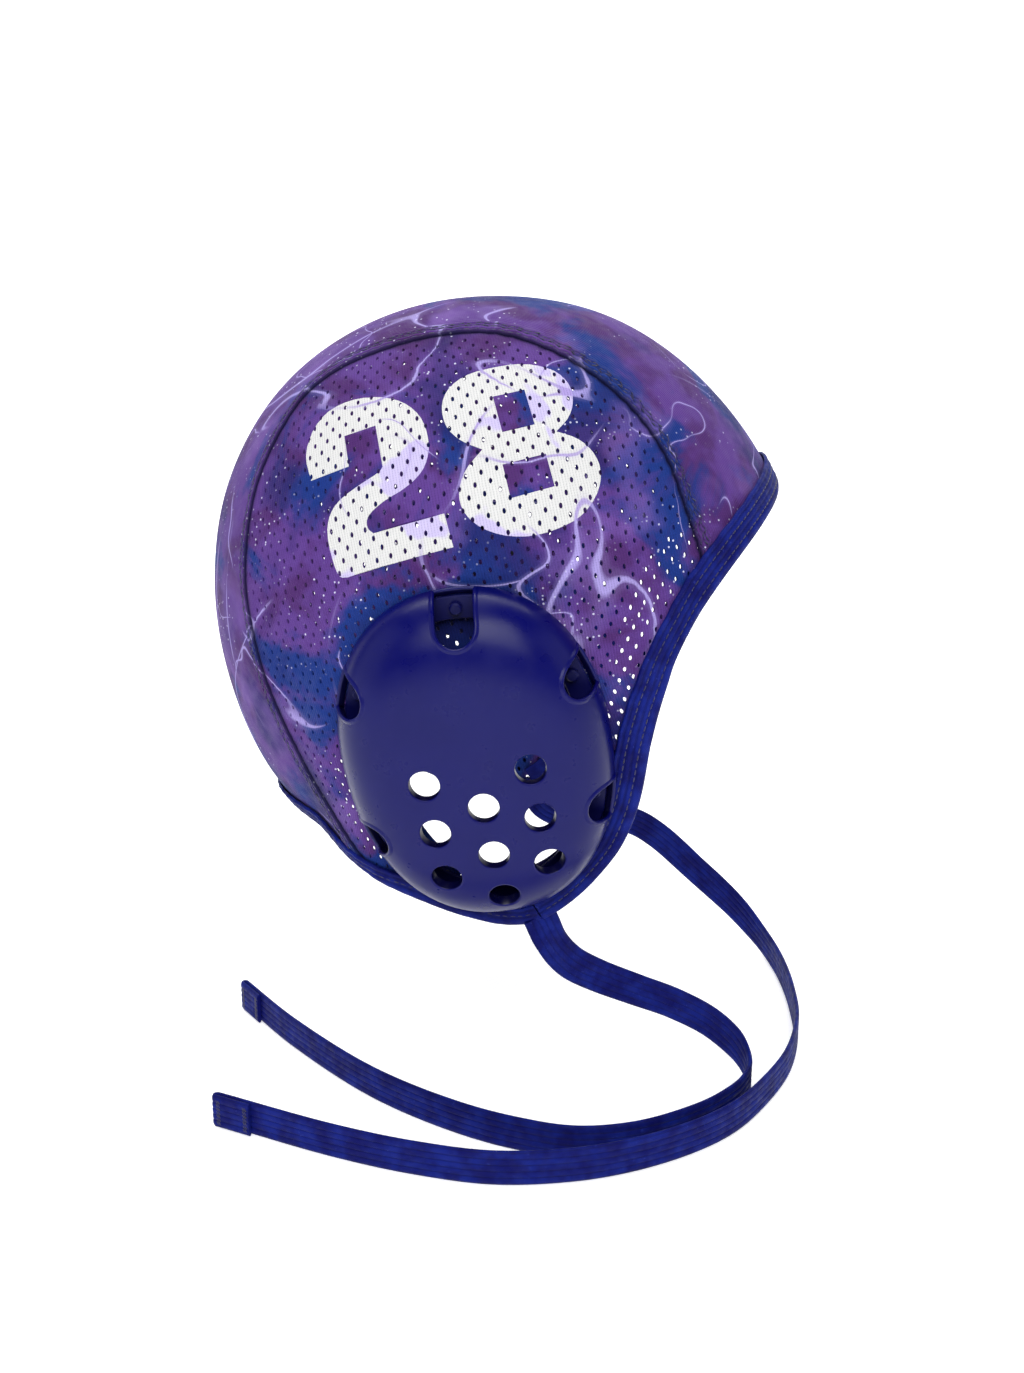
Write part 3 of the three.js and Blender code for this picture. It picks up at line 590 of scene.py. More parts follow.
def stitch_row(points, normals, pitch, length, width, height, skew=0.0):
    """Small rounded stitches along a line on a surface. Returns points and faces."""
    walked = lengths_along(points)
    middles = np.arange(pitch / 2, walked[-1], pitch)
    at = np.stack([np.interp(middles, walked, points[:, k]) for k in range(3)], -1)
    ahead = np.stack([np.interp(middles + pitch / 4, walked, points[:, k]) for k in range(3)], -1)
    up = unit(np.stack([np.interp(middles, walked, normals[:, k]) for k in range(3)], -1))
    along = unit(ahead - at)
    side = unit(np.cross(up, along))
    along = unit(along + skew * side)
    side = unit(np.cross(up, along))
    profile = [(-0.5, 0.25), (-0.3, 0.9), (0.0, 1.0), (0.3, 0.9), (0.5, 0.25)]
    turn = np.radians([0, 60, 120, 180, 270])
    grid = []
    for place, swell in profile:
        for angle in turn:
            grid.append(
                at
                + along * (place * length)
                + side * (math.cos(angle) * swell * width / 2)
                + up * (math.sin(angle) * swell * height)
            )
    size = len(turn)
    cloud = np.stack(grid, 1)
    count = cloud.shape[1]
    faces = [tuple(range(size))[::-1], tuple(range(count - size, count)), *sweep_faces(len(profile), size)]
    return cloud.reshape(-1, 3), [tuple(i * count + v for v in f) for i in range(len(at)) for f in faces]


def stitches_both_sides(line, normal, **stitch):
    """A row of stitches on the wearer's right and its mirror on the left."""
    return [
        stitch_row(line, normal, **stitch),
        stitch_row(flip_side(line), flip_side(normal), **stitch),
    ]


def joined(parts):
    """Points and faces of several parts as one."""
    points, faces, base = [], [], 0
    for part_points, part_faces in parts:
        points.append(part_points)
        faces.extend(tuple(base + v for v in f) for f in part_faces)
        base += len(part_points)
    return np.concatenate(points), faces


# Finishes


class Finish:
    """A material made of nodes, with short ways to add and join them."""

    def __init__(self, name):
        self.material = bpy.data.materials.new(name)
        self.material.use_nodes = True
        self.tree = self.material.node_tree
        self.tree.nodes.clear()
        self.output = self.tree.nodes.new("ShaderNodeOutputMaterial")
        self.shader = self.tree.nodes.new("ShaderNodeBsdfPrincipled")
        self.tree.links.new(self.shader.outputs[0], self.output.inputs["Surface"])

    def fill(self, socket, value):
        if isinstance(value, bpy.types.NodeSocket):
            self.tree.links.new(value, socket)
        elif hasattr(value, "__len__"):
            whole = len(value) == len(socket.default_value)
            socket.default_value = list(value) if whole else [*value, 1.0]
        else:
            socket.default_value = value

    def set(self, name, value):
        self.fill(self.shader.inputs[name], value)

    def node(self, kind, inputs, **settings):
        made = self.tree.nodes.new(kind)
        for key, value in settings.items():
            setattr(made, key, value)
        for key, value in inputs.items():
            self.fill(made.inputs[key], value)
        return made

    def maths(self, operation, *values):
        return self.node(
            "ShaderNodeMath", dict(enumerate(values)), operation=operation
        ).outputs[0]

    def place(self):
        return self.node("ShaderNodeTexCoord", {}).outputs["Object"]

    def marked(self, name, vector=False):
        made = self.node("ShaderNodeAttribute", {}, attribute_name=name)
        return made.outputs["Vector" if vector else "Fac"]

    def parts(self, vector):
        return self.node("ShaderNodeSeparateXYZ", {0: vector}).outputs

    def noise(self, vector, scale, detail=2.0, distortion=0.0, seed=0.0, roughness=0.5):
        moved = self.node("ShaderNodeVectorMath", {0: vector, 1: (seed, seed * 0.7, -seed)}, operation="ADD")
        made = self.node(
            "ShaderNodeTexNoise",
            {
                "Vector": moved.outputs[0], "Scale": scale, "Detail": detail, "Distortion": distortion,
                "Roughness": roughness,
            },
        )
        return made.outputs[0]

    def ramp(self, value, low, high, start=0.0, end=1.0):
        made = self.node(
            "ShaderNodeMapRange",
            {"Value": value, "From Min": low, "From Max": high, "To Min": start, "To Max": end},
            interpolation_type="SMOOTHSTEP",
        )
        return made.outputs[0]

    def mix(self, share, first, second):
        made = self.node("ShaderNodeMix", {}, data_type="RGBA")
        for index, value in ((0, share), (6, first), (7, second)):
            self.fill(made.inputs[index], value)
        return made.outputs[2]

    def bump(self, height, strength, distance):
        made = self.node("ShaderNodeBump", {"Height": height, "Strength": strength, "Distance": distance})
        self.set("Normal", made.outputs[0])


def printed_colour(finish, place):
    """Colour of the print: purple, plum and blue clouds, thin wandering pale lines, and dust."""
    look = bpy.context.scene.cap_cloth
    low = finish.maths("MULTIPLY_ADD", finish.parts(place)[2], -0.7, -0.065)
    clouds = finish.maths("ADD", finish.noise(place, 26, 6, 0.5, 0.31, 0.58), low)
    plum = finish.noise(place, 60, 5, 0.3, 1.7)
    deep = finish.maths("ADD", finish.noise(place, 34, 5, 0.2, 2.9), low)
    colour = finish.mix(finish.ramp(plum, 0.44, 0.62), look.purple, look.plum)
    colour = finish.mix(finish.ramp(clouds, 0.485, 0.59), colour, look.blue)
    colour = finish.mix(finish.ramp(deep, 0.49, 0.64, 0, 0.75), colour, (0.008, 0.009, 0.1, 1))
    glow = finish.ramp(finish.noise(place, 48, 2, 0.0, 5.2), 0.56, 0.75, 0, 0.35)
    colour = finish.mix(glow, colour, (0.22, 0.12, 0.42, 1))
    lines = None
    for scale, width, seed, warp in ((6.5, 0.0042, 7.1, 0.9), (10, 0.0046, 3.3, 1.1), (17, 0.0048, 9.4, 0.9)):
        field = finish.noise(place, scale, 2.0, warp, seed, 0.45)
        gap = finish.maths("ABSOLUTE", finish.maths("SUBTRACT", field, 0.5))
        core = finish.ramp(gap, width * 0.25, width, 1, 0)
        line = finish.maths("MAXIMUM", core, finish.ramp(gap, width, width * 2.5, 0.12, 0))
        shown = finish.ramp(finish.noise(place, scale * 2.1, 1, 0.0, seed + 2), 0.47, 0.57)
        line = finish.maths("MULTIPLY", line, shown)
        lines = line if lines is None else finish.maths("MAXIMUM", lines, line)
    specks = finish.node("ShaderNodeTexVoronoi", {"Vector": place, "Scale": 620.0}, feature="F1")
    dot = finish.ramp(specks.outputs["Distance"], 0.12, 0.26, 1, 0)
    pick = finish.ramp(finish.parts(specks.outputs["Color"])[0], 0.62, 0.68)
    dusty = finish.ramp(finish.noise(place, 34, 3, 0.0, 11.0), 0.44, 0.62)
    dust = finish.maths("MULTIPLY", finish.maths("MULTIPLY", dot, pick), dusty)
    return colour, lines, dust


def knit(finish, place, pitch):
    """Height of fine knit ribs across a flat place, 0 to 1."""
    across = finish.parts(place)[0]
    rib = finish.maths("SINE", finish.maths("MULTIPLY", across, 2 * math.pi / pitch))
    up = finish.parts(place)[1]
    course = finish.maths("SINE", finish.maths("MULTIPLY", up, 2 * math.pi / (pitch * 0.8)))
    woven = finish.maths("MULTIPLY_ADD", course, 0.35, rib)
    return finish.maths("MULTIPLY_ADD", woven, 0.37, 0.5)


def print_finish(name, numbered):
    look = bpy.context.scene.cap_cloth
    finish = Finish(name)
    place = finish.place()
    cloth_place = finish.marked("cloth_place", True)
    colour, lines, dust = printed_colour(finish, place)
    colour = finish.mix(finish.maths("MULTIPLY", lines, 0.7), colour, look.thread)
    colour = finish.mix(finish.maths("MULTIPLY", dust, 0.75), colour, (0.75, 0.75, 0.95, 1))
    if numbered:
        patches = finish.ramp(finish.noise(place, 40, 3, 0.3, 4.4), 0.56, 0.59, 0, 0.7)
        tinted = finish.mix(patches, look.number, (0.46, 0.38, 0.74, 1))
        tinted = finish.mix(finish.maths("MULTIPLY", lines, 0.8), tinted, (0.3, 0.22, 0.55, 1))
        colour = finish.mix(finish.marked("number"), colour, tinted)
    ribs = knit(finish, cloth_place, look.rib_pitch)
    # painted shade in the troughs between the knit's ribs
    shade = finish.ramp(ribs, 0.0, 0.5, 0.22, 0.0)
    colour = finish.mix(shade, colour, (0.004, 0.004, 0.03, 1))
    # painted shade along the seams, at the hem's outer edge and in the hem's stitch grooves
    painted_seam_shade_share = finish.maths("MULTIPLY", finish.marked("crease"), 0.9)
    colour = finish.mix(painted_seam_shade_share, colour, (0.002, 0.002, 0.025, 1))
    finish.set("Base Color", colour)
    finish.set("Roughness", finish.ramp(finish.noise(place, 300, 2), 0.3, 0.7, 0.62, 0.8))
    finish.set("Specular IOR Level", 0.15)
    finish.set("Sheen Weight", 0.06)
    finish.set("Sheen Roughness", 0.4)
    finish.set("Sheen Tint", (0.7, 0.66, 1.0))
    fuzz = finish.noise(place, 2400, 2)
    finish.bump(finish.maths("MULTIPLY_ADD", fuzz, 0.25, ribs), 0.5, 0.00022)
    return finish.material


def elastic_finish(name):
    """Ribbed elastic: pale ridges over grooves darkened with painted shade, with fine cross threads."""
    look = bpy.context.scene.cap_elastic
    finish = Finish(name)
    place = finish.place()
    strap = finish.parts(finish.marked("strap_place", True))
    cross = finish.maths("SINE", finish.maths("MULTIPLY", strap[0], 2 * math.pi / 0.0009))
    fine = finish.maths("SINE", finish.maths("MULTIPLY", strap[1], 2 * math.pi / 0.00075))
    weave = finish.maths("MULTIPLY_ADD", finish.maths("MULTIPLY", cross, fine), 0.3, 0.5)
    ridge = strap[2]
    base = finish.mix(
        finish.ramp(finish.noise(place, 160, 3, 0.0, 2.0), 0.35, 0.7), look.elastic, (0.003, 0.011, 0.17, 1)
    )
    # painted shade in the grooves between the ribs
    colour = finish.mix(finish.ramp(ridge, 0.0, 0.75, 0.4, 0.0), base, (0.0005, 0.001, 0.03, 1))
    lint = finish.ramp(finish.noise(place, 900, 3, 0.0, 6.0), 0.66, 0.74, 0, 0.3)
    colour = finish.mix(lint, colour, (0.03, 0.05, 0.34, 1))
    finish.set("Base Color", colour)
    finish.set("Roughness", finish.ramp(finish.noise(place, 400, 2), 0.3, 0.7, 0.55, 0.75))
    finish.set("Specular IOR Level", 0.12)
    finish.set("Sheen Weight", 0.03)
    finish.set("Sheen Roughness", 0.35)
    finish.set("Sheen Tint", (0.5, 0.6, 1.0))
    finish.bump(weave, 0.5, 0.0002)
    return finish.material


def plastic_finish(name, colour, low, high):
    """Moulded plastic with a fine grain, a slightly uneven shine, and painted shade on its inner faces."""
    finish = Finish(name)
    place = finish.place()
    cloudy = finish.noise(place, 70, 3, 0.0, 1.3)
    tint = finish.mix(finish.ramp(cloudy, 0.3, 0.75, 0.0, 0.3), colour, [c * 1.25 + 0.002 for c in colour])
    # painted shade: the dome's inner face and the deep walls of its holes and windows are darkened
    inner = finish.maths("MULTIPLY", finish.marked("inner"), 0.85)
    finish.set("Base Color", finish.mix(inner, tint, (0.0004, 0.0004, 0.012, 1)))
    finish.set("Roughness", finish.ramp(finish.noise(place, 190, 4, 0.0, 3.0), 0.3, 0.7, low, high))
    finish.set("Specular IOR Level", 0.2)
    grain = finish.noise(place, 2600, 3, 0.0, 0.0, 0.6)
    finish.bump(grain, 0.12, 0.00012)
    return finish.material


def thread_finish(name):
    look = bpy.context.scene.cap_elastic
    finish = Finish(name)
    place = finish.place()
    twist = finish.noise(place, 2000, 2)
    finish.set("Base Color", finish.mix(finish.ramp(twist, 0.35, 0.7), look.stitch, (0.02, 0.02, 0.11, 1)))
    finish.set("Roughness", finish.ramp(twist, 0.3, 0.7, 0.55, 0.7))
    finish.set("Sheen Weight", 0.2)
    finish.bump(twist, 0.4, 0.0001)
    return finish.material


FINISHES = {
    "printed_knit": lambda name: print_finish(name, False),
    "printed_mesh": lambda name: print_finish(name, True),
    "ribbed_elastic": elastic_finish,
    "moulded_guard": lambda name: plastic_finish(name, bpy.context.scene.cap_guard.plastic, 0.27, 0.34),
    "moulded_ring": lambda name: plastic_finish(name, bpy.context.scene.cap_guard.ring, 0.4, 0.55),
    "sewing_thread": thread_finish,
}


def finish_of(name):
    return bpy.data.materials.get(name) or FINISHES[name](name)


# Side panels

SEAM_POINTS = 150

# Directions on the cloth map in degrees: across a row of mesh holes, and along a hole
HOLES_ACROSS = 15.5
HOLES_ALONG = 100.5

# Cloth left between a mesh hole's middle and the panel's edge or its ear opening
EDGE_MARGIN = 0.0021
OPENING_MARGIN = 0.0017

# How far the knit's ribs lean on the cloth map, in radians
CUT_LEAN = 0.2

# Puckers along a seam
PUCKERS = 74


def numeral_outlines():
    """Closed outlines of the number on the cloth map, and for each whether it is a counter."""
    lean = turn_matrix(NUMERAL_LEAN)
    outlines = []
    for name, left, foot, width in NUMERAL_PLACES:
        size, corner = np.array([width, NUMERAL_HEIGHT]), np.array([left, foot])
        rows = NUMERALS[name]
        first = next(i for i, row in enumerate(rows) if row[2])
        rows = [*rows[first:], *rows[: first + 1]]
        points, run = [], [rows[0]]
        for row in rows[1:]:
            run.append(row)
            if row[2]:
                line = np.array([(u, v) for u, v, _ in run]) * size
                places = np.arange(0, len(run) - 1, 0.34 if len(run) > 2 else 1.0)
                points.append(spline(line, places))
                run = [row]
        outlines.append(((np.concatenate(points) + corner) @ lean, False))
        for u0, v0, u1, v1 in COUNTERS[name]:
            square = np.array([(u0, v0), (u1, v0), (u1, v1), (u0, v1)]) * size + corner
            outlines.append((square @ lean, True))
    return outlines


def mirrored_outlines(outlines):
    """The number so that it reads rightly on the wearer's left, where forwards is to the left."""
    lean = turn_matrix(NUMERAL_LEAN)
    upright = [(line @ lean.T, counter) for line, counter in outlines]
    reach = np.concatenate([line for line, _ in upright])[:, 0]
    middle = reach.min() + reach.max()
    return [((line * [-1, 1] + [middle, 0]) @ lean, counter) for line, counter in upright]


def direction(degrees):
    return np.array([math.cos(math.radians(degrees)), math.sin(math.radians(degrees))])


def mesh_holes(border, opening):
    """Middles of the mesh holes of a side panel on the cloth map, and the ways across and along a hole."""
    look = bpy.context.scene.cap_cloth
    across, along = direction(HOLES_ACROSS), direction(HOLES_ALONG)
    counts = np.arange(-45, 46)
    i, j = np.meshgrid(counts, counts)
    even = i[..., None] * look.hole_pitch * across + j[..., None] * look.row_pitch * along
    even = even.reshape(-1, 2)
    middles = np.concatenate([even, even + (look.hole_pitch * across + look.row_pitch * along) / 2])
    middles = middles[np.linalg.norm(middles, axis=1) < 0.14]
    middles = middles[inside(middles, border) & ~inside(middles, opening)]
    clear = distance_to(middles, border) > EDGE_MARGIN
    clear &= distance_to(middles, opening) > OPENING_MARGIN
    return middles[clear], across, along


def seam_on_map():
    return to_map(seam_at(np.linspace(0, 1, SEAM_POINTS)))


def side_panel_layout(outlines, sides=8):
    """Flat layout of a side panel, pierced, with the number's outlines cut in."""
    look = bpy.context.scene.cap_cloth
    seam = seam_on_map()
    edge = to_map(rim_inset(np.linspace(NAPE_ROW, FOREHEAD_ROW, 230)[1:-1]))
    border = np.concatenate([seam, edge])
    turn = np.linspace(0, 2 * math.pi, 72, endpoint=False)
    c, s = math.cos(GUARD_ROLL), math.sin(GUARD_ROLL)
    x = EAR_OPENING["half_width"] * np.cos(turn) + EAR_OPENING["forward"]
    z = EAR_OPENING["half_length"] * np.sin(turn) + EAR_OPENING["up"]
    opening = to_map(chart_of(GUARD_FORWARD + x * c - z * s, -GUARD_DOWN + z * c + x * s))
    middles, across, along = mesh_holes(border, opening)
    ring = np.linspace(0, 2 * math.pi, sides, endpoint=False) + math.pi / sides
    wide = np.cos(ring)[:, None] * across * look.hole_width / 2
    high = np.sin(ring)[:, None] * along * look.hole_length / 2
    holes = middles[:, None] + (wide + high)[None]
    fill = honeycomb((-0.14, -0.13), (0.14, 0.14), 0.0023)
    fill = fill[inside(fill, border) & ~inside(fill, opening)]
    fill = fill[(distance_to(fill, border) > 0.0018) & (distance_to(fill, opening) > 0.0008)]
    run = unit(np.gradient(seam, axis=0)) * 0.0009
    inner_line = np.concatenate([seam + run[:, ::-1] * [-1, 1], seam + run[:, ::-1] * [1, -1]])
    fill = np.concatenate([fill, inner_line[inside(inner_line, border)]])
    frame_back = np.linalg.inv(np.stack([across * look.hole_width / 2, along * look.hole_length / 2]))

    def nearest(points, block=4000):
        """For each point, the smallest oval distance to a hole's middle, and the way there."""
        found = []
        for start in range(0, len(points), block):
            gap = (points[start : start + block, None] - middles[None]) @ frame_back
            reach = np.linalg.norm(gap, axis=-1)
            best = reach.argmin(1)
            found.append(gap[np.arange(len(gap)), best])
        return np.concatenate(found)

    fill = fill[np.linalg.norm(nearest(fill), axis=1) > 1.6]
    flat, triangles, _ = cut_layout([border, opening, *holes, *(line for line, _ in outlines)], fill)
    middle = flat[triangles].mean(1)
    kept = inside(middle, border) & ~inside(middle, opening)
    triangles, middle = triangles[kept], middle[kept]
    way = nearest(middle)
    bearing = (np.arctan2(way[:, 1], way[:, 0]) - math.pi / sides) % (2 * math.pi / sides) - math.pi / sides
    pierced = np.linalg.norm(way, axis=1) * np.cos(bearing) < math.cos(math.pi / sides) * 0.999
    triangles, middle = triangles[~pierced], middle[~pierced]
    number = np.zeros(len(triangles), bool)
    for line, counter in outlines:
        number = number & ~inside(middle, line) if counter else number | inside(middle, line)
    lip = np.linalg.norm(nearest(flat), axis=1) < 1.05
    return flat, triangles, number, lip


def pucker_phase(along):
    """Phase of the puckers at shares of the way along a seam, unevenly spread."""
    return along * 2 * math.pi * PUCKERS + 2 * np.sin(along * 31)


def make_side_panel(side):
    look = bpy.context.scene.cap_cloth
    outlines = numeral_outlines()
    if side == "left":
        outlines = mirrored_outlines(outlines)
    flat, triangles, number, lip = side_panel_layout(outlines)
    chart = to_chart(flat)
    gaps = np.linalg.norm(flat[:, None] - seam_on_map()[None], axis=-1)
    from_seam, along = gaps.min(1), gaps.argmin(1) / (SEAM_POINTS - 1)
    front = np.interp(along, [0, 0.06, 0.25, 0.4, 0.9, 1], [0.3, 1.0, 0.8, 0.25, 0.25, 0.4])
    wave = np.sin(pucker_phase(along)) * np.exp(-from_seam / 0.0045)
    height = -0.00012 * lip + look.pucker * 0.55 * front * (wave - 0.6 * np.exp(-from_seam / 0.004))
    outer, under = raised(chart, height), raised(chart, height - look.cloth)
    if side == "left":
        outer, under = flip_side(outer), flip_side(under)
        triangles = triangles[:, ::-1]
    # the layout's triangles run anticlockwise seen from outside on the wearer's right
    count = len(flat)
    rim = border_edges(triangles)
    faces = [*triangles.tolist(), *(triangles[:, ::-1] + count).tolist()]
    faces += [(b, a, a + count, b + count) for a, b in rim.tolist()]
    name = "side_panel_" + side
    piece = build_piece(
        name + "_cloth", np.concatenate([outer, under]), faces, finish_of("printed_mesh"),
        [name],
    )
    laid = np.column_stack([np.tile(flat @ turn_matrix(-CUT_LEAN), (2, 1)), np.zeros(2 * count)])
    mark(piece, "cloth_place", laid)
    # painted shade along the seam
    mark(piece, "crease", np.tile(np.exp(-((from_seam / 0.0007) ** 2)), 2))
    per_face = np.concatenate([number, np.zeros(len(faces) - len(number), bool)])
    loops = np.zeros(len(piece.data.polygons), int)
    piece.data.polygons.foreach_get("loop_total", loops)
    mark(piece, "number", np.repeat(per_face[: len(loops)], loops).astype(float), "CORNER")
    return piece


# Centre panel

# Rows of stitches on the hem: distance in from the seam, and height of the stitches' feet
HEM_STITCHES = ((0.0009, 0.0004), (0.0026, 0.0006), (0.0038, 0.0006))


def panel_chart(along, share):
    """Chart points of the centre panel, at shares of the way along and in from the seam to the mid plane."""
    rows = np.linspace(0, 1, 60)
    front = rim_inset(FOREHEAD_ROW + (0 - FOREHEAD_ROW) * rows)
    nape = rim_inset(NAPE_ROW + (len(RIM) - 1 - NAPE_ROW) * rows)
    seam = seam_at(along)
    reach_seam = np.linalg.norm(seam, axis=-1)

    def edge_angle(edge):
        reach = np.linalg.norm(edge, axis=-1)
        aim = reach[0] + (90 - reach[0]) * share
        return np.interp(aim, reach, angles_of(edge))

    angle = (
        angles_of(seam)
        + (1 - along) * (edge_angle(front) - SEAM_START)
        + along * (edge_angle(nape) - SEAM_END)
    )
    return polar_points(angle, reach_seam + (90 - reach_seam) * share)


def hem_puckers(along, distance):
    """Height of the gathers at shares of the way along a seam and distances in from it."""
    look = bpy.context.scene.cap_cloth
    front = np.interp(along, [0, 0.05, 0.2, 0.33, 0.5, 0.93, 1], [0.5, 1.0, 0.9, 0.35, 0.16, 0.25, 0.4])
    phase = pucker_phase(along)
    crumple = np.sin(phase) + 0.5 * np.sin(phase * 2.3 + distance * 900)
    crumple = crumple + 0.35 * np.sin(phase * 0.37 + distance * 500)
    return look.pucker * front * crumple


def make_centre_panel(rows=300, columns=26):
    look = bpy.context.scene.cap_cloth
    along = np.linspace(0, 1, rows)
    half = surface(panel_chart(along, np.zeros(rows)))
    middle = surface(panel_chart(along, np.full(rows, 0.5)))
    width = 2 * np.linalg.norm(half - middle, axis=1)
    hem = look.hem_width
    near = [0, 0.0002, 0.0005, 0.0009, 0.0013, 0.0018, 0.0022, 0.0026, 0.003, 0.0034, 0.0038, 0.0043]
    near = np.array([*near, hem, hem + 0.0004, hem + 0.0008, hem + 0.0016])
    share_near = (SEAM_GAP + near[None]) / width[:, None]
    rest = np.linspace(0, 1, columns)[1:] ** 1.15
    share = np.concatenate([share_near, share_near[:, -1:] + (1 - share_near[:, -1:]) * rest[None]], 1)
    grid = panel_chart(np.repeat(along[:, None], share.shape[1], 1), share)
    distance = share * width[:, None] - SEAM_GAP
    rounded = np.sqrt(np.clip(1 - (1 - np.clip(distance / 0.0006, 0, 1)) ** 2, 0, 1))
    profile = look.hem_rise * (0.25 + 0.75 * rounded) * (1 - smoothstep(distance, hem - 0.0001, hem + 0.0008))
    grooves = sum(np.exp(-(((distance - at) / 0.00035) ** 2)) for at, _ in HEM_STITCHES)
    profile = profile - 0.00028 * grooves
    lengths = (np.arange(rows) / rows)[:, None]
    fading = np.exp(-np.clip(distance - hem * 0.6, 0, None) / 0.0045)
    gather = hem_puckers(lengths, distance) * fading
    ends = np.clip(np.minimum(lengths, 1 - lengths) / 0.02, 0, 1)
    height = (profile + gather * smoothstep(distance, -0.0005, 0.0012)) * (0.15 + 0.85 * ends)
    outer, under = raised(grid, height), raised(grid, np.minimum(height, 0) * 0.5 - look.cloth)
    outer[:, -1, 1] = 0
    under[:, -1, 1] = 0
    full_outer = np.concatenate([outer, flip_side(outer[:, -2::-1])], 1)
    full_under = np.concatenate([under, flip_side(under[:, -2::-1])], 1)
    size = full_outer.shape[1]
    points = np.concatenate([full_outer.reshape(-1, 3), full_under.reshape(-1, 3)])
    count = rows * size
    faces = []
    for i in range(rows - 1):
        for j in range(size - 1):
            a, b, c, d = i * size + j, i * size + j + 1, (i + 1) * size + j + 1, (i + 1) * size + j
            faces.append((a, b, c, d))
            faces.append((a + count, d + count, c + count, b + count))
    loop = [*range(size), *range(2 * size - 1, count, size)]
    loop += [*range(count - 2, count - size - 1, -1), *range(count - 2 * size, 0, -size)]
    faces += [(b, a, a + count, b + count) for a, b in zip(loop, loop[1:] + loop[:1])]
    piece = build_piece(
        "centre_panel_cloth", points, faces, finish_of("printed_knit"),
        ["centre_panel"], sharp=60,
    )
    walked = np.repeat(lengths_along(half)[:, None], share.shape[1], 1)
    right = np.stack([share * width[:, None], walked, 0 * share], -1)
    left = right[:, -2::-1] * [-1, 1, 1] + [2, 0, 0] * np.repeat(width[:, None, None], 1, 1)
    laid = np.concatenate([right, left], 1).reshape(-1, 3)
    mark(piece, "cloth_place", np.concatenate([laid, laid]))
    # painted shade: darkest at the seam, fainter at the hem's outer edge and in the stitch grooves
    crease = np.exp(-((distance / 0.0004) ** 2)) + 0.4 * np.exp(-(((distance - hem - 0.0003) / 0.0004) ** 2))
    crease = np.clip(crease + 0.7 * grooves, 0, 1)
    crease = np.concatenate([crease, crease[:, -2::-1]], 1).reshape(-1)
    mark(piece, "crease", np.concatenate([crease, crease]))
    return piece


def make_seam_stitches():
    """Three rows of dark stitches on the hem along each seam."""
    along = np.linspace(0.012, 0.988, 260)
    seam = surface(panel_chart(along, np.zeros(len(along))))
    middle = surface(panel_chart(along, np.full(len(along), 0.5)))
    width = 2 * np.linalg.norm(seam - middle, axis=1)
    parts = []
    for distance, rise in HEM_STITCHES:
        chart = panel_chart(along, (SEAM_GAP + distance) / width)
        height = rise + hem_puckers(along, distance) * smoothstep(distance, -0.0005, 0.0012)
        parts += stitches_both_sides(
            raised(chart, height), outwards(chart), pitch=0.0027, length=0.002, width=0.0005, height=0.00028
        )
    points, faces = joined(parts)
    return build_piece("seam_stitches", points, faces, finish_of("sewing_thread"))


# Bindings


def binding_section(width, ribs):
    """Section of a folded binding: distance in from the fold, height over the cloth, and how far up a rib."""
    top = BINDING_CLEARANCE + BINDING_WALL
    bottom = -FABRIC - BINDING_CLEARANCE - BINDING_WALL
    radius = (top - bottom) / 2
    rows = [(width, BINDING_CLEARANCE, 0.3), (width, BINDING_CLEARANCE + BINDING_WALL * 0.5, 0.5)]
    flat = np.linspace(width - 0.0003, radius * 0.9, 7 * ribs)
    for distance in flat:
        turn = 2 * math.pi * ribs * (width - distance - 0.0006) / (width - radius * 0.5)
        ridge = 0.5 + 0.5 * math.cos(turn)
        rows.append((distance, top - 0.00022 + 0.0003 * ridge**0.6, ridge))
    for angle in np.linspace(75, -90, 12):
        wide, high = math.cos(math.radians(angle)), math.sin(math.radians(angle))
        rows.append((radius * 0.9 * (1 - wide), (top + bottom) / 2 + (radius - 0.0001) * high, 0.75))
    for distance in np.linspace(radius, width, 8)[1:]:
        rows.append((distance, bottom, 0.6))
    rows += [(width, bottom + BINDING_WALL, 0.3), (BINDING_WALL, bottom + BINDING_WALL, 0.2)]
    rows.append((BINDING_WALL, BINDING_CLEARANCE, 0.2))
    return np.array(rows)


def make_binding(name, start, end, width, ribs, count, wavy):
    section = binding_section(width, ribs)
    rows = np.linspace(start, end, count)
    chart, inwards = rim_frame(rows)
    walked = lengths_along(surface(chart))
    from_middle = walked[-1] - walked
    wobble = wavy * (np.sin(walked * 1250) + 0.6 * np.sin(walked * 2210 + 1))
    rings = []
    for distance, height, _ in section:
        away = max(0.0, min(1.0, distance / width))
        place = walk(chart, inwards, distance * (1 + 0.012 * np.sin(walked * 700) * away))
        rings.append(raised(place, height + wobble * (0.4 + 0.6 * away) * (height > 0)))
    right = np.stack(rings, 1)
    right[-1, :, 1] = 0
    points = np.concatenate([right, flip_side(right[-2::-1])])
    size = len(section)
    faces = [tuple(reversed(f)) for f in sweep_faces(len(points), size)]
    faces += end_faces(len(points), size)
    piece = build_piece(
        name + "_elastic", points.reshape(-1, 3), faces, finish_of("ribbed_elastic"),
        [name], sharp=55,
    )
    lengths = np.concatenate([from_middle, -from_middle[-2::-1]])
    strap = np.stack(
        [
            np.repeat(lengths[:, None], size, 1),
            np.repeat(np.cumsum(np.hypot(np.diff(section[:, 0], prepend=width), 0))[None], len(lengths), 0),
            np.repeat(section[:, 2][None], len(lengths), 0),
        ],
        -1,
    )
    mark(piece, "strap_place", strap.reshape(-1, 3))
    return piece


def make_binding_stitches(name, start, end, distances, count):
    """Lengthwise rows of stitches that hold a binding down."""
    rows = np.linspace(start, end, count)
    chart, inwards = rim_frame(rows)
    parts = []
    for distance in distances:
        place = walk(chart, inwards, distance)
        line = raised(place, BINDING_CLEARANCE + BINDING_WALL - 0.00002)
        line[-1, 1] = 0
        parts += stitches_both_sides(
            line, outwards(place), pitch=0.0024, length=0.0018, width=0.00042, height=0.00022
        )
    points, faces = joined(parts)
    return build_piece(name, points, faces, finish_of("sewing_thread"))


# Ear guards


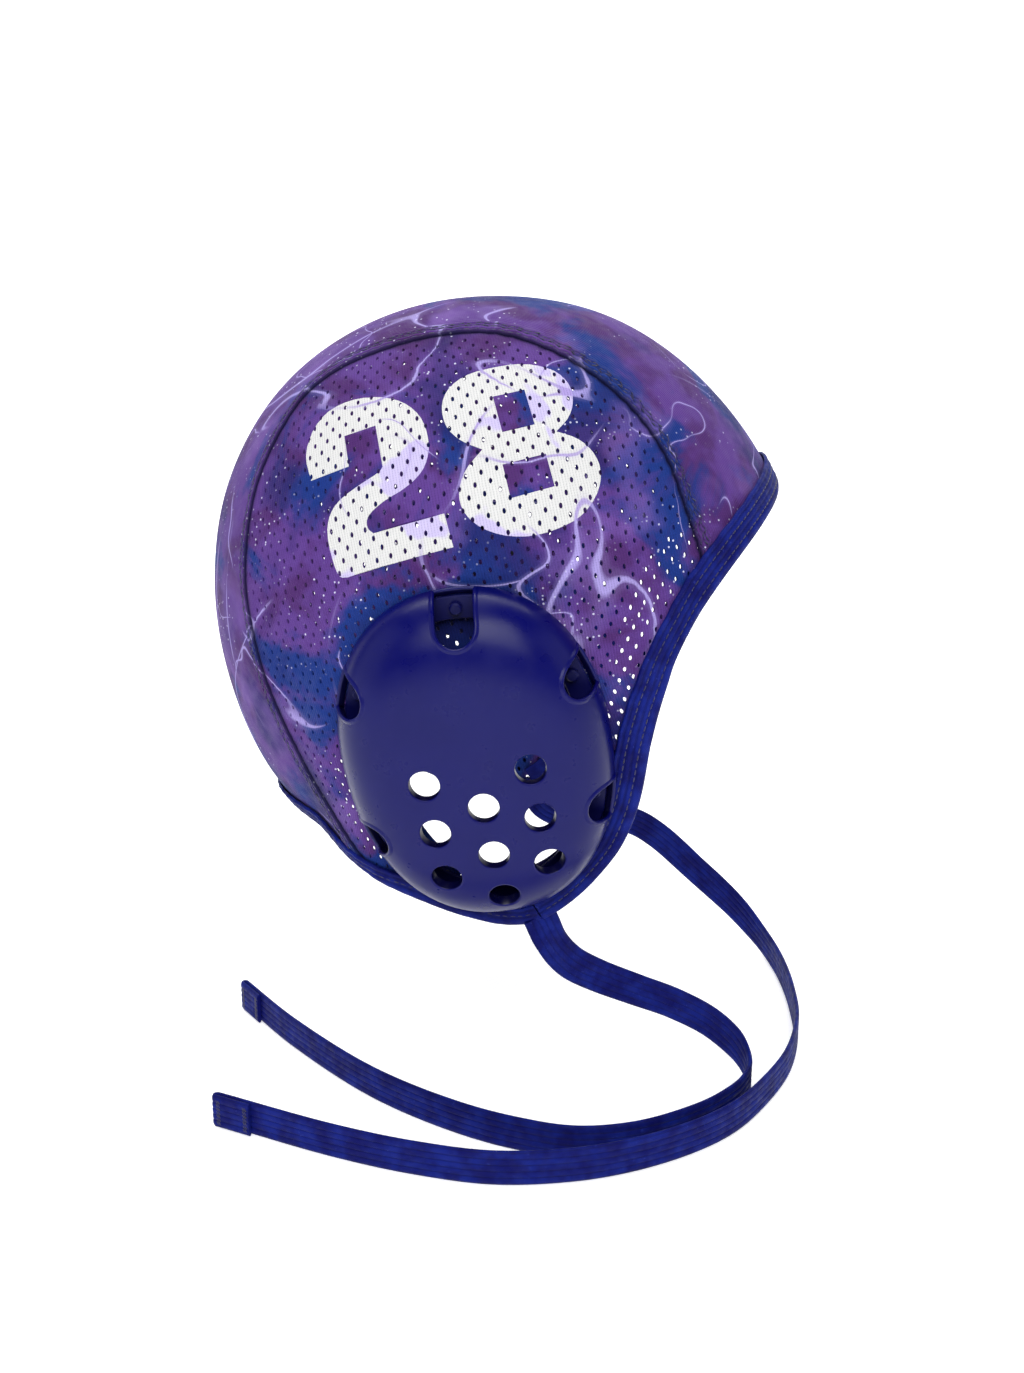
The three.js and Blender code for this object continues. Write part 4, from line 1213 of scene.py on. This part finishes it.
def guard_outline(angle, inset=0.0):
    s, c = np.sin(angle), np.cos(angle)
    power = 2 / GUARD_SQUARENESS
    return np.stack(
        [
            (GUARD_HALF_WIDTH - inset) * np.sign(s) * np.abs(s) ** power * (1 + GUARD_TAPER * c),
            (GUARD_HALF_LENGTH - inset) * np.sign(c) * np.abs(c) ** power,
        ],
        -1,
    )


def outline_share(points):
    """How far out to the guard's outline plan points lie, 1 being on it."""
    x, y = np.abs(points[..., 0]) / GUARD_HALF_WIDTH, points[..., 1] / GUARD_HALF_LENGTH
    c = np.zeros(x.shape)
    for _ in range(8):
        share = ((x / (1 + GUARD_TAPER * c)) ** GUARD_SQUARENESS + np.abs(y) ** GUARD_SQUARENESS) ** (
            1 / GUARD_SQUARENESS
        )
        c = np.sign(y) * np.clip(np.abs(y) / np.maximum(share, 1e-9), 0, 1) ** (GUARD_SQUARENESS / 2)
    return share


# About the mean half size of a guard, for the spread of its layout
GUARD_MEAN_HALF = 0.046

_shares = np.sin(np.linspace(0, math.pi / 2, 600))
_heights = GUARD_DEPTH * np.sqrt(np.clip(1 - _shares**4, 0, 1))
_dome_steps = np.hypot(np.diff(_shares) * GUARD_MEAN_HALF, np.diff(_heights))
_dome_walk = np.concatenate([[0], np.cumsum(_dome_steps)])
_dome_walk = _dome_walk / _dome_walk[-1]


def plan_to_layout(points):
    """The guard's layout spreads the steep sides of the dome out flat."""
    share = outline_share(points)
    return points * (np.interp(share, _shares, _dome_walk) / np.maximum(share, 1e-9))[..., None]


def layout_to_dome(points):
    spread = outline_share(points)
    share = np.interp(spread, _dome_walk, _shares)
    plan = points * (share / np.maximum(spread, 1e-9))[..., None]
    height = GUARD_DEPTH * np.sqrt(np.clip(1 - np.minimum(share, 1) ** 4, 0, 1))
    return np.concatenate([plan, height[..., None]], -1)


def dome_normal(points, step=0.0004):
    """Outward directions of the dome at layout points, read a little inside its foot."""
    spread = outline_share(points)
    near = points * (np.minimum(spread, 0.985) / np.maximum(spread, 1e-9))[..., None]
    across, up = np.array([step, 0.0]), np.array([0.0, step])
    return unit(
        np.cross(
            layout_to_dome(near + across) - layout_to_dome(near - across),
            layout_to_dome(near + up) - layout_to_dome(near - up),
        )
    )


def sound_holes():
    """Middles of the nine sound holes in the guard's plan, the middle column set lower."""
    middles = []
    for column in (-1, 0, 1):
        for row in range(3):
            drop = 0 if column else SOUND_CENTRE_DROP
            across = SOUND_FORWARD + column * SOUND_COLUMN_PITCH
            middles.append((across, SOUND_HOLE_TOP - drop - row * SOUND_HOLE_PITCH))
    return np.array(middles)


def window_loop(angle, length, grow):
    """Plan outline of a window grown by a distance: along its bar, up its sides and round its inner end."""
    mouth = guard_outline(np.array(math.radians(angle)))
    way = mouth / np.linalg.norm(mouth)
    side = np.array([way[1], -way[0]])
    half, inner = WINDOW_WIDTH / 2 + grow, WINDOW_WIDTH / 2 - length
    aim = (1 - ((WINDOW_BAR - grow * 0.8) / GUARD_DEPTH) ** 2) ** 0.25

    def at(across, along):
        return mouth + side * across + way * along

    def bar_place(across):
        low, high = inner, GUARD_HALF_WIDTH * 0.2
        for _ in range(40):
            middle = (low + high) / 2
            low, high = (middle, high) if outline_share(at(across, middle)) < aim else (low, middle)
        return low

    points = [at(across, bar_place(across)) for across in np.linspace(half, -half, 13)]
    left, right = bar_place(-half), bar_place(half)
    points += [at(-half, along) for along in np.linspace(left, inner, 8)[1:-1]]
    for turn in np.linspace(math.pi, 2 * math.pi, 17):
        points.append(at(half * math.cos(turn), inner + half * math.sin(turn)))
    points += [at(half, along) for along in np.linspace(inner, right, 8)[1:-1]]
    return np.array(points)


def guard_matrix():
    """Directions across, up and out of the right guard, as rows."""
    out = unit(np.array([-math.tan(GUARD_TOE), -1.0, -math.tan(GUARD_CANT)]))
    plain_up = unit(np.array([0, 0, 1.0]) - out * out[2])
    plain_across = np.cross(plain_up, out)
    up = plain_up * math.cos(GUARD_ROLL) - plain_across * math.sin(GUARD_ROLL)
    return np.stack([np.cross(up, out), up, out])


GUARD_CENTRE = np.array([GUARD_FORWARD, -EAR_HALF_WIDTH, -GUARD_DOWN])


def set_on_head(points):
    return points @ guard_matrix() + GUARD_CENTRE


def make_ear_guard(side):
    look = bpy.context.scene.cap_guard
    holes, windows = [], []
    turn = np.linspace(0, 2 * math.pi, 40, endpoint=False)
    ring = np.stack([np.cos(turn), np.sin(turn)], -1)
    round_edge = (
        (0.0006, 0.0), (0.0003, -0.00006), (0.0001, -0.0002), (0.0, -0.0005), (0.0001, -0.0032),
        (0.0006, -0.0032),
    )
    lip = look.lip
    rolled_edge = (
        (lip, 0.0), (lip * 0.8, 0.00018), (lip * 0.55, 0.00042), (lip * 0.3, 0.00044), (lip * 0.1, 0.00022),
        (0.0, -0.0001), (0.0, -0.0006),
    )
    for place in sound_holes():
        holes.append([(place + ring * (SOUND_HOLE_RADIUS + grow), rise) for grow, rise in round_edge])
    for angle, length in WINDOWS:
        windows.append([(window_loop(angle, length, grow), rise) for grow, rise in rolled_edge])
    foot = guard_outline(np.linspace(0, 2 * math.pi, 200, endpoint=False))
    loops = [plan_to_layout(rings[0][0]) for rings in [*holes, *windows]]
    fill = honeycomb((-0.06, -0.06), (0.06, 0.06), look.facet)
    fill = fill[inside(fill, foot)]
    fill = fill[distance_to(fill, foot) > look.facet * 0.45]
    for loop in loops:
        fill = fill[~inside(fill, loop)]
        fill = fill[distance_to(fill, loop) > look.facet * 0.45]
    flat, triangles, ends = cut_layout([foot, *loops], fill)
    middle = flat[triangles].mean(1)
    kept = inside(middle, foot)
    for loop in loops:
        kept &= ~inside(middle, loop)
    triangles = triangles[kept]
    outer = layout_to_dome(flat)
    normal = dome_normal(flat)
    under = outer - normal * GUARD_WALL
    foot_ring = ends[0]
    under[foot_ring, 2] = 0
    outer[foot_ring, 2] = 0
    count = len(flat)
    points = [outer, under]
    # share of painted shade: none on the outer face, full on the inner face
    painted_inner_shade = [np.zeros(count), np.ones(count)]
    faces = [*triangles.tolist(), *(triangles[:, ::-1] + count).tolist()]
    base = 2 * count
    for corners, rings in zip(ends[1:], [*holes, *windows]):
        size = len(corners)
        layers = [corners]
        for plan, rise in rings[1:]:
            laid = plan_to_layout(plan)
            points.append(layout_to_dome(laid) + dome_normal(laid) * rise)
            painted_inner_shade.append(np.full(size, 1.0 if rise < -0.0004 else 0.0))
            layers.append(np.arange(base, base + size))
            base += size
        layers.append(corners + count)
        clockwise = np.sum(np.cross(rings[0][0], np.roll(rings[0][0], -1, axis=0))) < 0
        for one, other in zip(layers, layers[1:]):
            for j in range(size):
                k = (j + 1) % size
                face = (one[j], one[k], other[k], other[j])
                faces.append(face if clockwise else face[::-1])
    size = len(foot_ring)
    for j in range(size):
        k = (j + 1) % size
        faces.append((foot_ring[j], foot_ring[j] + count, foot_ring[k] + count, foot_ring[k]))
    placed = np.concatenate(points) + np.array([0, 0, GUARD_SEAT])
    placed = set_on_head(placed)
    if side == "left":
        placed = flip_side(placed)
        faces = [tuple(reversed(f)) for f in faces]
    name = "ear_guard_" + side
    piece = build_piece(
        name + "_dome", placed, faces, finish_of("moulded_guard"), [name], sharp=38
    )
    # painted shade on the dome's inner face and on the deep walls of its holes and windows
    mark(piece, "inner", np.concatenate(painted_inner_shade))
    return piece


def make_guard_ring(side):
    """Base ring inside the dome's foot, with a rounded peg in each window."""
    edge, top = GUARD_WALL + 0.0003, GUARD_SEAT + RING_THICKNESS
    angles = np.linspace(0, 2 * math.pi, 140, endpoint=False)
    rows = [
        (edge, GUARD_SEAT), (edge, top - 0.0003), (edge + 0.0003, top), (edge + RING_WIDTH - 0.0003, top),
        (edge + RING_WIDTH, top - 0.0003), (edge + RING_WIDTH, GUARD_SEAT),
    ]
    rings = [
        np.column_stack([guard_outline(angles, inset), np.full(len(angles), height)])
        for inset, height in rows
    ]
    points = np.stack([*rings, rings[0]], 1).reshape(-1, 3)
    size = len(rows) + 1
    faces = []
    for i in range(len(angles)):
        k = (i + 1) % len(angles)
        faces += [(i * size + j, i * size + j + 1, k * size + j + 1, k * size + j) for j in range(size - 1)]
    parts = [(points, [f[::-1] for f in faces])]
    turn = np.linspace(0, 2 * math.pi, 24, endpoint=False)
    peg_rows = (
        (PEG_RADIUS, -0.0006), (PEG_RADIUS, PEG_HEIGHT - 0.0005), (PEG_RADIUS - 0.0005, PEG_HEIGHT),
    )
    peg_end = range((len(peg_rows) - 1) * len(turn), len(peg_rows) * len(turn))
    peg_faces = [*sweep_faces(len(peg_rows), len(turn)), tuple(peg_end)]
    for angle, _ in WINDOWS:
        middle = guard_outline(np.array(math.radians(angle)), PEG_INSET)
        layers = []
        for radius, height in peg_rows:
            x, y = middle[0] + radius * np.cos(turn), middle[1] + radius * np.sin(turn)
            layers.append(np.stack([x, y, np.full(len(turn), top + height)], -1))
        parts.append((np.concatenate(layers), peg_faces))
    points, faces = joined(parts)
    points = set_on_head(points)
    if side == "left":
        points = flip_side(points)
        faces = [tuple(reversed(f)) for f in faces]
    name = "guard_ring_" + side
    return build_piece(name + "_base", points, faces, finish_of("moulded_ring"), [name])


# Ties

# Height of the folded end over the tie's middle, as a share of the tie's thickness
FOLD_LIFT = 0.98

# Places of the tacks: in from the tab's ends, and in from the tie's edges
TACK_INSET = 0.0022
TACK_MARGIN = 0.0012


def strap_section(width, thickness, ribs, per_rib=6):
    """Section of flat ribbed elastic: across, out of the face, and how far up a rib."""
    face = []
    for t in np.linspace(-1, 1, ribs * per_rib + 1):
        ridge = abs(math.cos(math.pi * ribs * (t + 1) / 2 + math.pi / 2)) ** 0.55
        face.append((t * (width / 2 - thickness * 0.3), thickness * (0.34 + 0.16 * ridge), ridge))
    edge = [
        (width / 2 - thickness * 0.08, thickness * 0.22, 0.9), (width / 2, 0.0, 1.0),
        (width / 2 - thickness * 0.08, -thickness * 0.22, 0.9),
    ]
    back = [(-x, -y, r) for x, y, r in face]
    return np.array([*face, *edge, *back, *[(-x, -y, r) for x, y, r in edge]])


def tie_line(route, step=0.0014):
    """Even places along a tie: points, directions along and out of its face, and lengths walked."""
    dense = spline(route, np.linspace(0, len(route) - 1, 3000))
    walked = lengths_along(dense)
    count = int(walked[-1] / step)
    lengths = np.linspace(0, walked[-1], count)
    points = np.stack([np.interp(lengths, walked, dense[:, k]) for k in range(3)], -1)
    along = unit(np.gradient(points, axis=0))
    face = unit(np.cross(np.array([0, 0, 1.0]), along))
    return points, along, face, lengths


def strap_mesh(points, along, face, lengths, section):
    across = unit(np.cross(along, face))
    grid = (
        points[:, None] + across[:, None] * section[None, :, 0:1] + face[:, None] * section[None, :, 1:2]
    )
    size = len(section)
    count = len(points)
    faces = [*sweep_faces(count, size), *end_faces(count, size)]
    strap = np.stack(
        [
            np.repeat(lengths[:, None], size, 1),
            np.repeat(section[None, :, 0], count, 0),
            np.repeat(section[None, :, 2], count, 0),
        ],
        -1,
    )
    return grid.reshape(-1, 3), faces, strap.reshape(-1, 3)


def make_strap(name, path, along, face, lengths, section, replaced=()):
    """Flat ribbed elastic along a path."""
    body, faces, strap = strap_mesh(path, along, face, lengths, section)
    piece = build_piece(
        name, body, faces, finish_of("ribbed_elastic"), replaced, (0, 0, 0), sharp=50
    )
    mark(piece, "strap_place", strap)
    return piece


def make_fold(name, points, along, face, start, section):
    """The end of a tie, folded back over its face from the last point to the start of the tab."""
    look = bpy.context.scene.cap_elastic
    lift = look.tie_thickness * FOLD_LIFT
    radius = lift / 2
    path = [points[i] + face[i] * lift for i in range(start, len(points))]
    ways = [along[i] for i in range(start, len(points))]
    normals = [face[i] for i in range(start, len(points))]
    for angle in np.linspace(70, -90, 9):
        s, c = math.sin(math.radians(angle)), math.cos(math.radians(angle))
        path.append(points[-1] + face[-1] * (radius + radius * s) + along[-1] * radius * c)
        ways.append(along[-1] * s - face[-1] * c)
        normals.append(along[-1] * c + face[-1] * s)
    path, ways, normals = np.array(path), unit(np.array(ways)), unit(np.array(normals))
    thin = section * [0.985, 0.9, 1.0]
    return make_strap(name + "_fold", path, ways, normals, lengths_along(path), thin)


def make_tacks(name, points, along, face, start, step):
    """Slanted stitches on both faces of a tie, at both ends of its tab."""
    look = bpy.context.scene.cap_elastic
    parts = []
    half = look.tie_width / 2 - TACK_MARGIN
    for place in (TACK_INSET, look.tab_length - TACK_INSET):
        i = min(start + int(place / step), len(points) - 1)
        across = np.cross(along[i], face[i])
        for out in (1, -1):
            top = look.tie_thickness * FOLD_LIFT + look.tie_thickness * 0.42
            if out < 0:
                top = look.tie_thickness * 0.46
            line = [points[i] + face[i] * top * out + across * t for t in np.linspace(-half, half, 20)]
            ups = np.array([face[i] * out] * len(line))
            for shift in (-0.00035, 0.00035):
                parts.append(
                    stitch_row(
                        np.array(line) + along[i] * shift, ups,
                        pitch=0.0012, length=0.0014, width=0.0004, height=0.0002, skew=0.7,
                    )
                )
    dots, faces = joined(parts)
    return build_piece(
        name + "_tacks", dots, faces, finish_of("sewing_thread"), (), (0, 0, 0)
    )


def make_tie(name):
    look = bpy.context.scene.cap_elastic
    section = strap_section(look.tie_width, look.tie_thickness, look.tie_ribs)
    route = np.array(TIE_ROUTES[name])
    route = np.concatenate([route[:1] - unit(route[1:2] - route[:1]) * TIE_ROOT, route])
    points, along, face, lengths = tie_line(route)
    tie = make_strap(name + "_strap", points, along, face, lengths, section, [name])
    start = np.searchsorted(lengths, lengths[-1] - look.tab_length)
    fold = make_fold(name, points, along, face, start, section)
    tacks = make_tacks(name, points, along, face, start, lengths[1] - lengths[0])
    return tie


# Operators


class CAP_OT_ties(bpy.types.Operator):
    """Make both ties with their folded ends"""

    bl_idname = "cap.ties"
    bl_label = "Ties"

    def execute(self, context):
        for name in TIE_ROUTES:
            make_tie(name)
        return {"FINISHED"}


class CAP_OT_side_panels(bpy.types.Operator):
    """Make both pierced side panels with their number"""

    bl_idname = "cap.side_panels"
    bl_label = "Side Panels"

    def execute(self, context):
        for side in ("right", "left"):
            make_side_panel(side)
        return {"FINISHED"}


class CAP_OT_centre_panel(bpy.types.Operator):
    """Make the centre panel with its hems and stitches"""

    bl_idname = "cap.centre_panel"
    bl_label = "Centre Panel"

    def execute(self, context):
        make_centre_panel()
        make_seam_stitches()
        return {"FINISHED"}


class CAP_OT_bindings(bpy.types.Operator):
    """Make the folded elastic along the face and the nape"""

    bl_idname = "cap.bindings"
    bl_label = "Bindings"

    def execute(self, context):
        look = context.scene.cap_elastic
        forehead, nape = 0, len(RIM) - 1
        make_binding(
            "face_binding", FLAP_ROW - END_PLAY, forehead, look.face_width, ribs=5, count=210, wavy=0.00003
        )
        make_binding(
            "nape_binding", FLAP_ROW + END_PLAY, nape, look.nape_width, ribs=3, count=150, wavy=0.00008
        )
        make_binding_stitches("face_stitches", FLAP_ROW - 0.3, forehead, (0.0036, 0.0074), count=160)
        make_binding_stitches("nape_stitches", FLAP_ROW + 0.3, nape, (0.0042,), count=120)
        return {"FINISHED"}


class CAP_OT_ear_guards(bpy.types.Operator):
    """Make both ear guards and their base rings"""

    bl_idname = "cap.ear_guards"
    bl_label = "Ear Guards"

    def execute(self, context):
        for side in ("right", "left"):
            make_ear_guard(side)
            make_guard_ring(side)
        return {"FINISHED"}


class CAP_OT_stage(bpy.types.Operator):
    """Make the camera, the pale floor and the soft light"""

    bl_idname = "cap.stage"
    bl_label = "Stage"

    def execute(self, context):
        look = context.scene.cap_stage
        lens = bpy.data.cameras.new("camera")
        lens.lens = look.lens
        lens.sensor_width = 36
        lens.clip_start, lens.clip_end = 0.01, 50
        camera = bpy.data.objects.new("camera", lens)
        camera.location = look.camera
        camera.rotation_euler = (math.pi / 2 - look.pitch, 0, 0)
        context.scene.collection.objects.link(camera)
        context.scene.camera = camera
        self.build_floor(look.floor)
        self.light("front_top", (0.0, -1.15, 0.75), (1.3, 0.8), 19, (0.99, 0.99, 1), (0, -0.02, -0.1))
        self.light("overhead", (-0.12, 0.1, 1.1), (1.0, 0.8), 5, (1, 0.99, 0.97), (0, -0.02, -0.1))
        self.light("left_fill", (-1.4, -0.35, 0.3), (1.2, 1.3), 4, (0.96, 0.98, 1), (0, -0.02, -0.1))
        self.light("right_fill", (1.4, -0.35, 0.3), (1.2, 1.3), 3.5, (0.98, 0.98, 1), (0, -0.02, -0.1))
        self.light("backdrop_wash", (0, 0.75, 2.0), (3.0, 0.6), 45, (1, 1, 1), (0, 2.0, 0.3))
        world = bpy.data.worlds.new("studio")
        world.use_nodes = True
        sky = world.node_tree.nodes["Background"]
        sky.inputs["Color"].default_value = (1, 1, 1, 1)
        sky.inputs["Strength"].default_value = 0.07
        context.scene.world = world
        context.scene.view_settings.view_transform = "Standard"
        return {"FINISHED"}

    def build_floor(self, height):
        """A wide floor that curves up into a backdrop."""
        profile = [(-3.0, 0.0), (1.1, 0.0)]
        for angle in np.linspace(0, 90, 25)[1:]:
            s, c = math.sin(math.radians(angle)), math.cos(math.radians(angle))
            profile.append((1.1 + 0.9 * s, 0.9 * (1 - c)))
        profile.append((2.0, 4.0))
        points = [(x, y, height + z) for x in (-4.0, 4.0) for y, z in profile]
        count = len(profile)
        faces = [(i, i + count, i + count + 1, i + 1) for i in range(count - 1)]
        mesh = bpy.data.meshes.new("floor")
        mesh.from_pydata(points, [], faces)
        mesh.shade_smooth()
        finish = Finish("studio_floor")
        clouds = finish.ramp(finish.noise(finish.place(), 3, 2), 0.3, 0.7)
        finish.set("Base Color", finish.mix(clouds, (0.93, 0.93, 0.93), (0.95, 0.95, 0.95)))
        finish.set("Roughness", 0.7)
        finish.set("Specular IOR Level", 0.2)
        finish.set("Emission Color", (1, 1, 1))
        finish.set("Emission Strength", 0.4)
        mesh.materials.append(finish.material)
        floor = bpy.data.objects.new("floor", mesh)
        bpy.context.scene.collection.objects.link(floor)

    def light(self, name, place, size, power, colour, target):
        """A soft rectangular lamp that faces the cap."""
        lamp = bpy.data.lights.new(name, "AREA")
        lamp.shape = "RECTANGLE"
        lamp.size, lamp.size_y = size
        lamp.energy = power
        lamp.color = colour
        holder = bpy.data.objects.new(name, lamp)
        holder.location = place
        aim = Vector(target) - Vector(place)
        holder.rotation_euler = aim.to_track_quat("-Z", "Y").to_euler()
        holder.visible_camera = False
        bpy.context.scene.collection.objects.link(holder)


class CAP_PT_panel(bpy.types.Panel):
    """Lists the cap's operators and settings"""

    bl_label = "Water Polo Cap"
    bl_idname = "CAP_PT_panel"
    bl_space_type = "VIEW_3D"
    bl_region_type = "UI"
    bl_category = "Cap"

    def draw(self, context):
        for operator in OPERATORS:
            self.layout.operator(operator.bl_idname)
        for group in SETTINGS:
            box = self.layout.box()
            settings = getattr(context.scene, group)
            for name in SETTINGS[group].__annotations__:
                box.prop(settings, name)


OPERATORS = (
    CAP_OT_stage,
    CAP_OT_ties,
    CAP_OT_side_panels,
    CAP_OT_centre_panel,
    CAP_OT_bindings,
    CAP_OT_ear_guards,
)
SETTINGS = {
    "cap_cloth": CapClothSettings,
    "cap_guard": CapGuardSettings,
    "cap_elastic": CapElasticSettings,
    "cap_stage": CapStageSettings,
}


def register():
    for name, group in SETTINGS.items():
        bpy.utils.register_class(group)
        setattr(bpy.types.Scene, name, PointerProperty(type=group))
    for operator in OPERATORS:
        bpy.utils.register_class(operator)
    bpy.utils.register_class(CAP_PT_panel)


def unregister():
    bpy.utils.unregister_class(CAP_PT_panel)
    for operator in reversed(OPERATORS):
        bpy.utils.unregister_class(operator)
    for name, group in reversed(SETTINGS.items()):
        delattr(bpy.types.Scene, name)
        bpy.utils.unregister_class(group)


def main():
    register()
    bpy.ops.cap.stage()
    bpy.ops.cap.ties()
    bpy.ops.cap.side_panels()
    bpy.ops.cap.centre_panel()
    bpy.ops.cap.bindings()
    bpy.ops.cap.ear_guards()


if __name__ == "__main__":
    main()
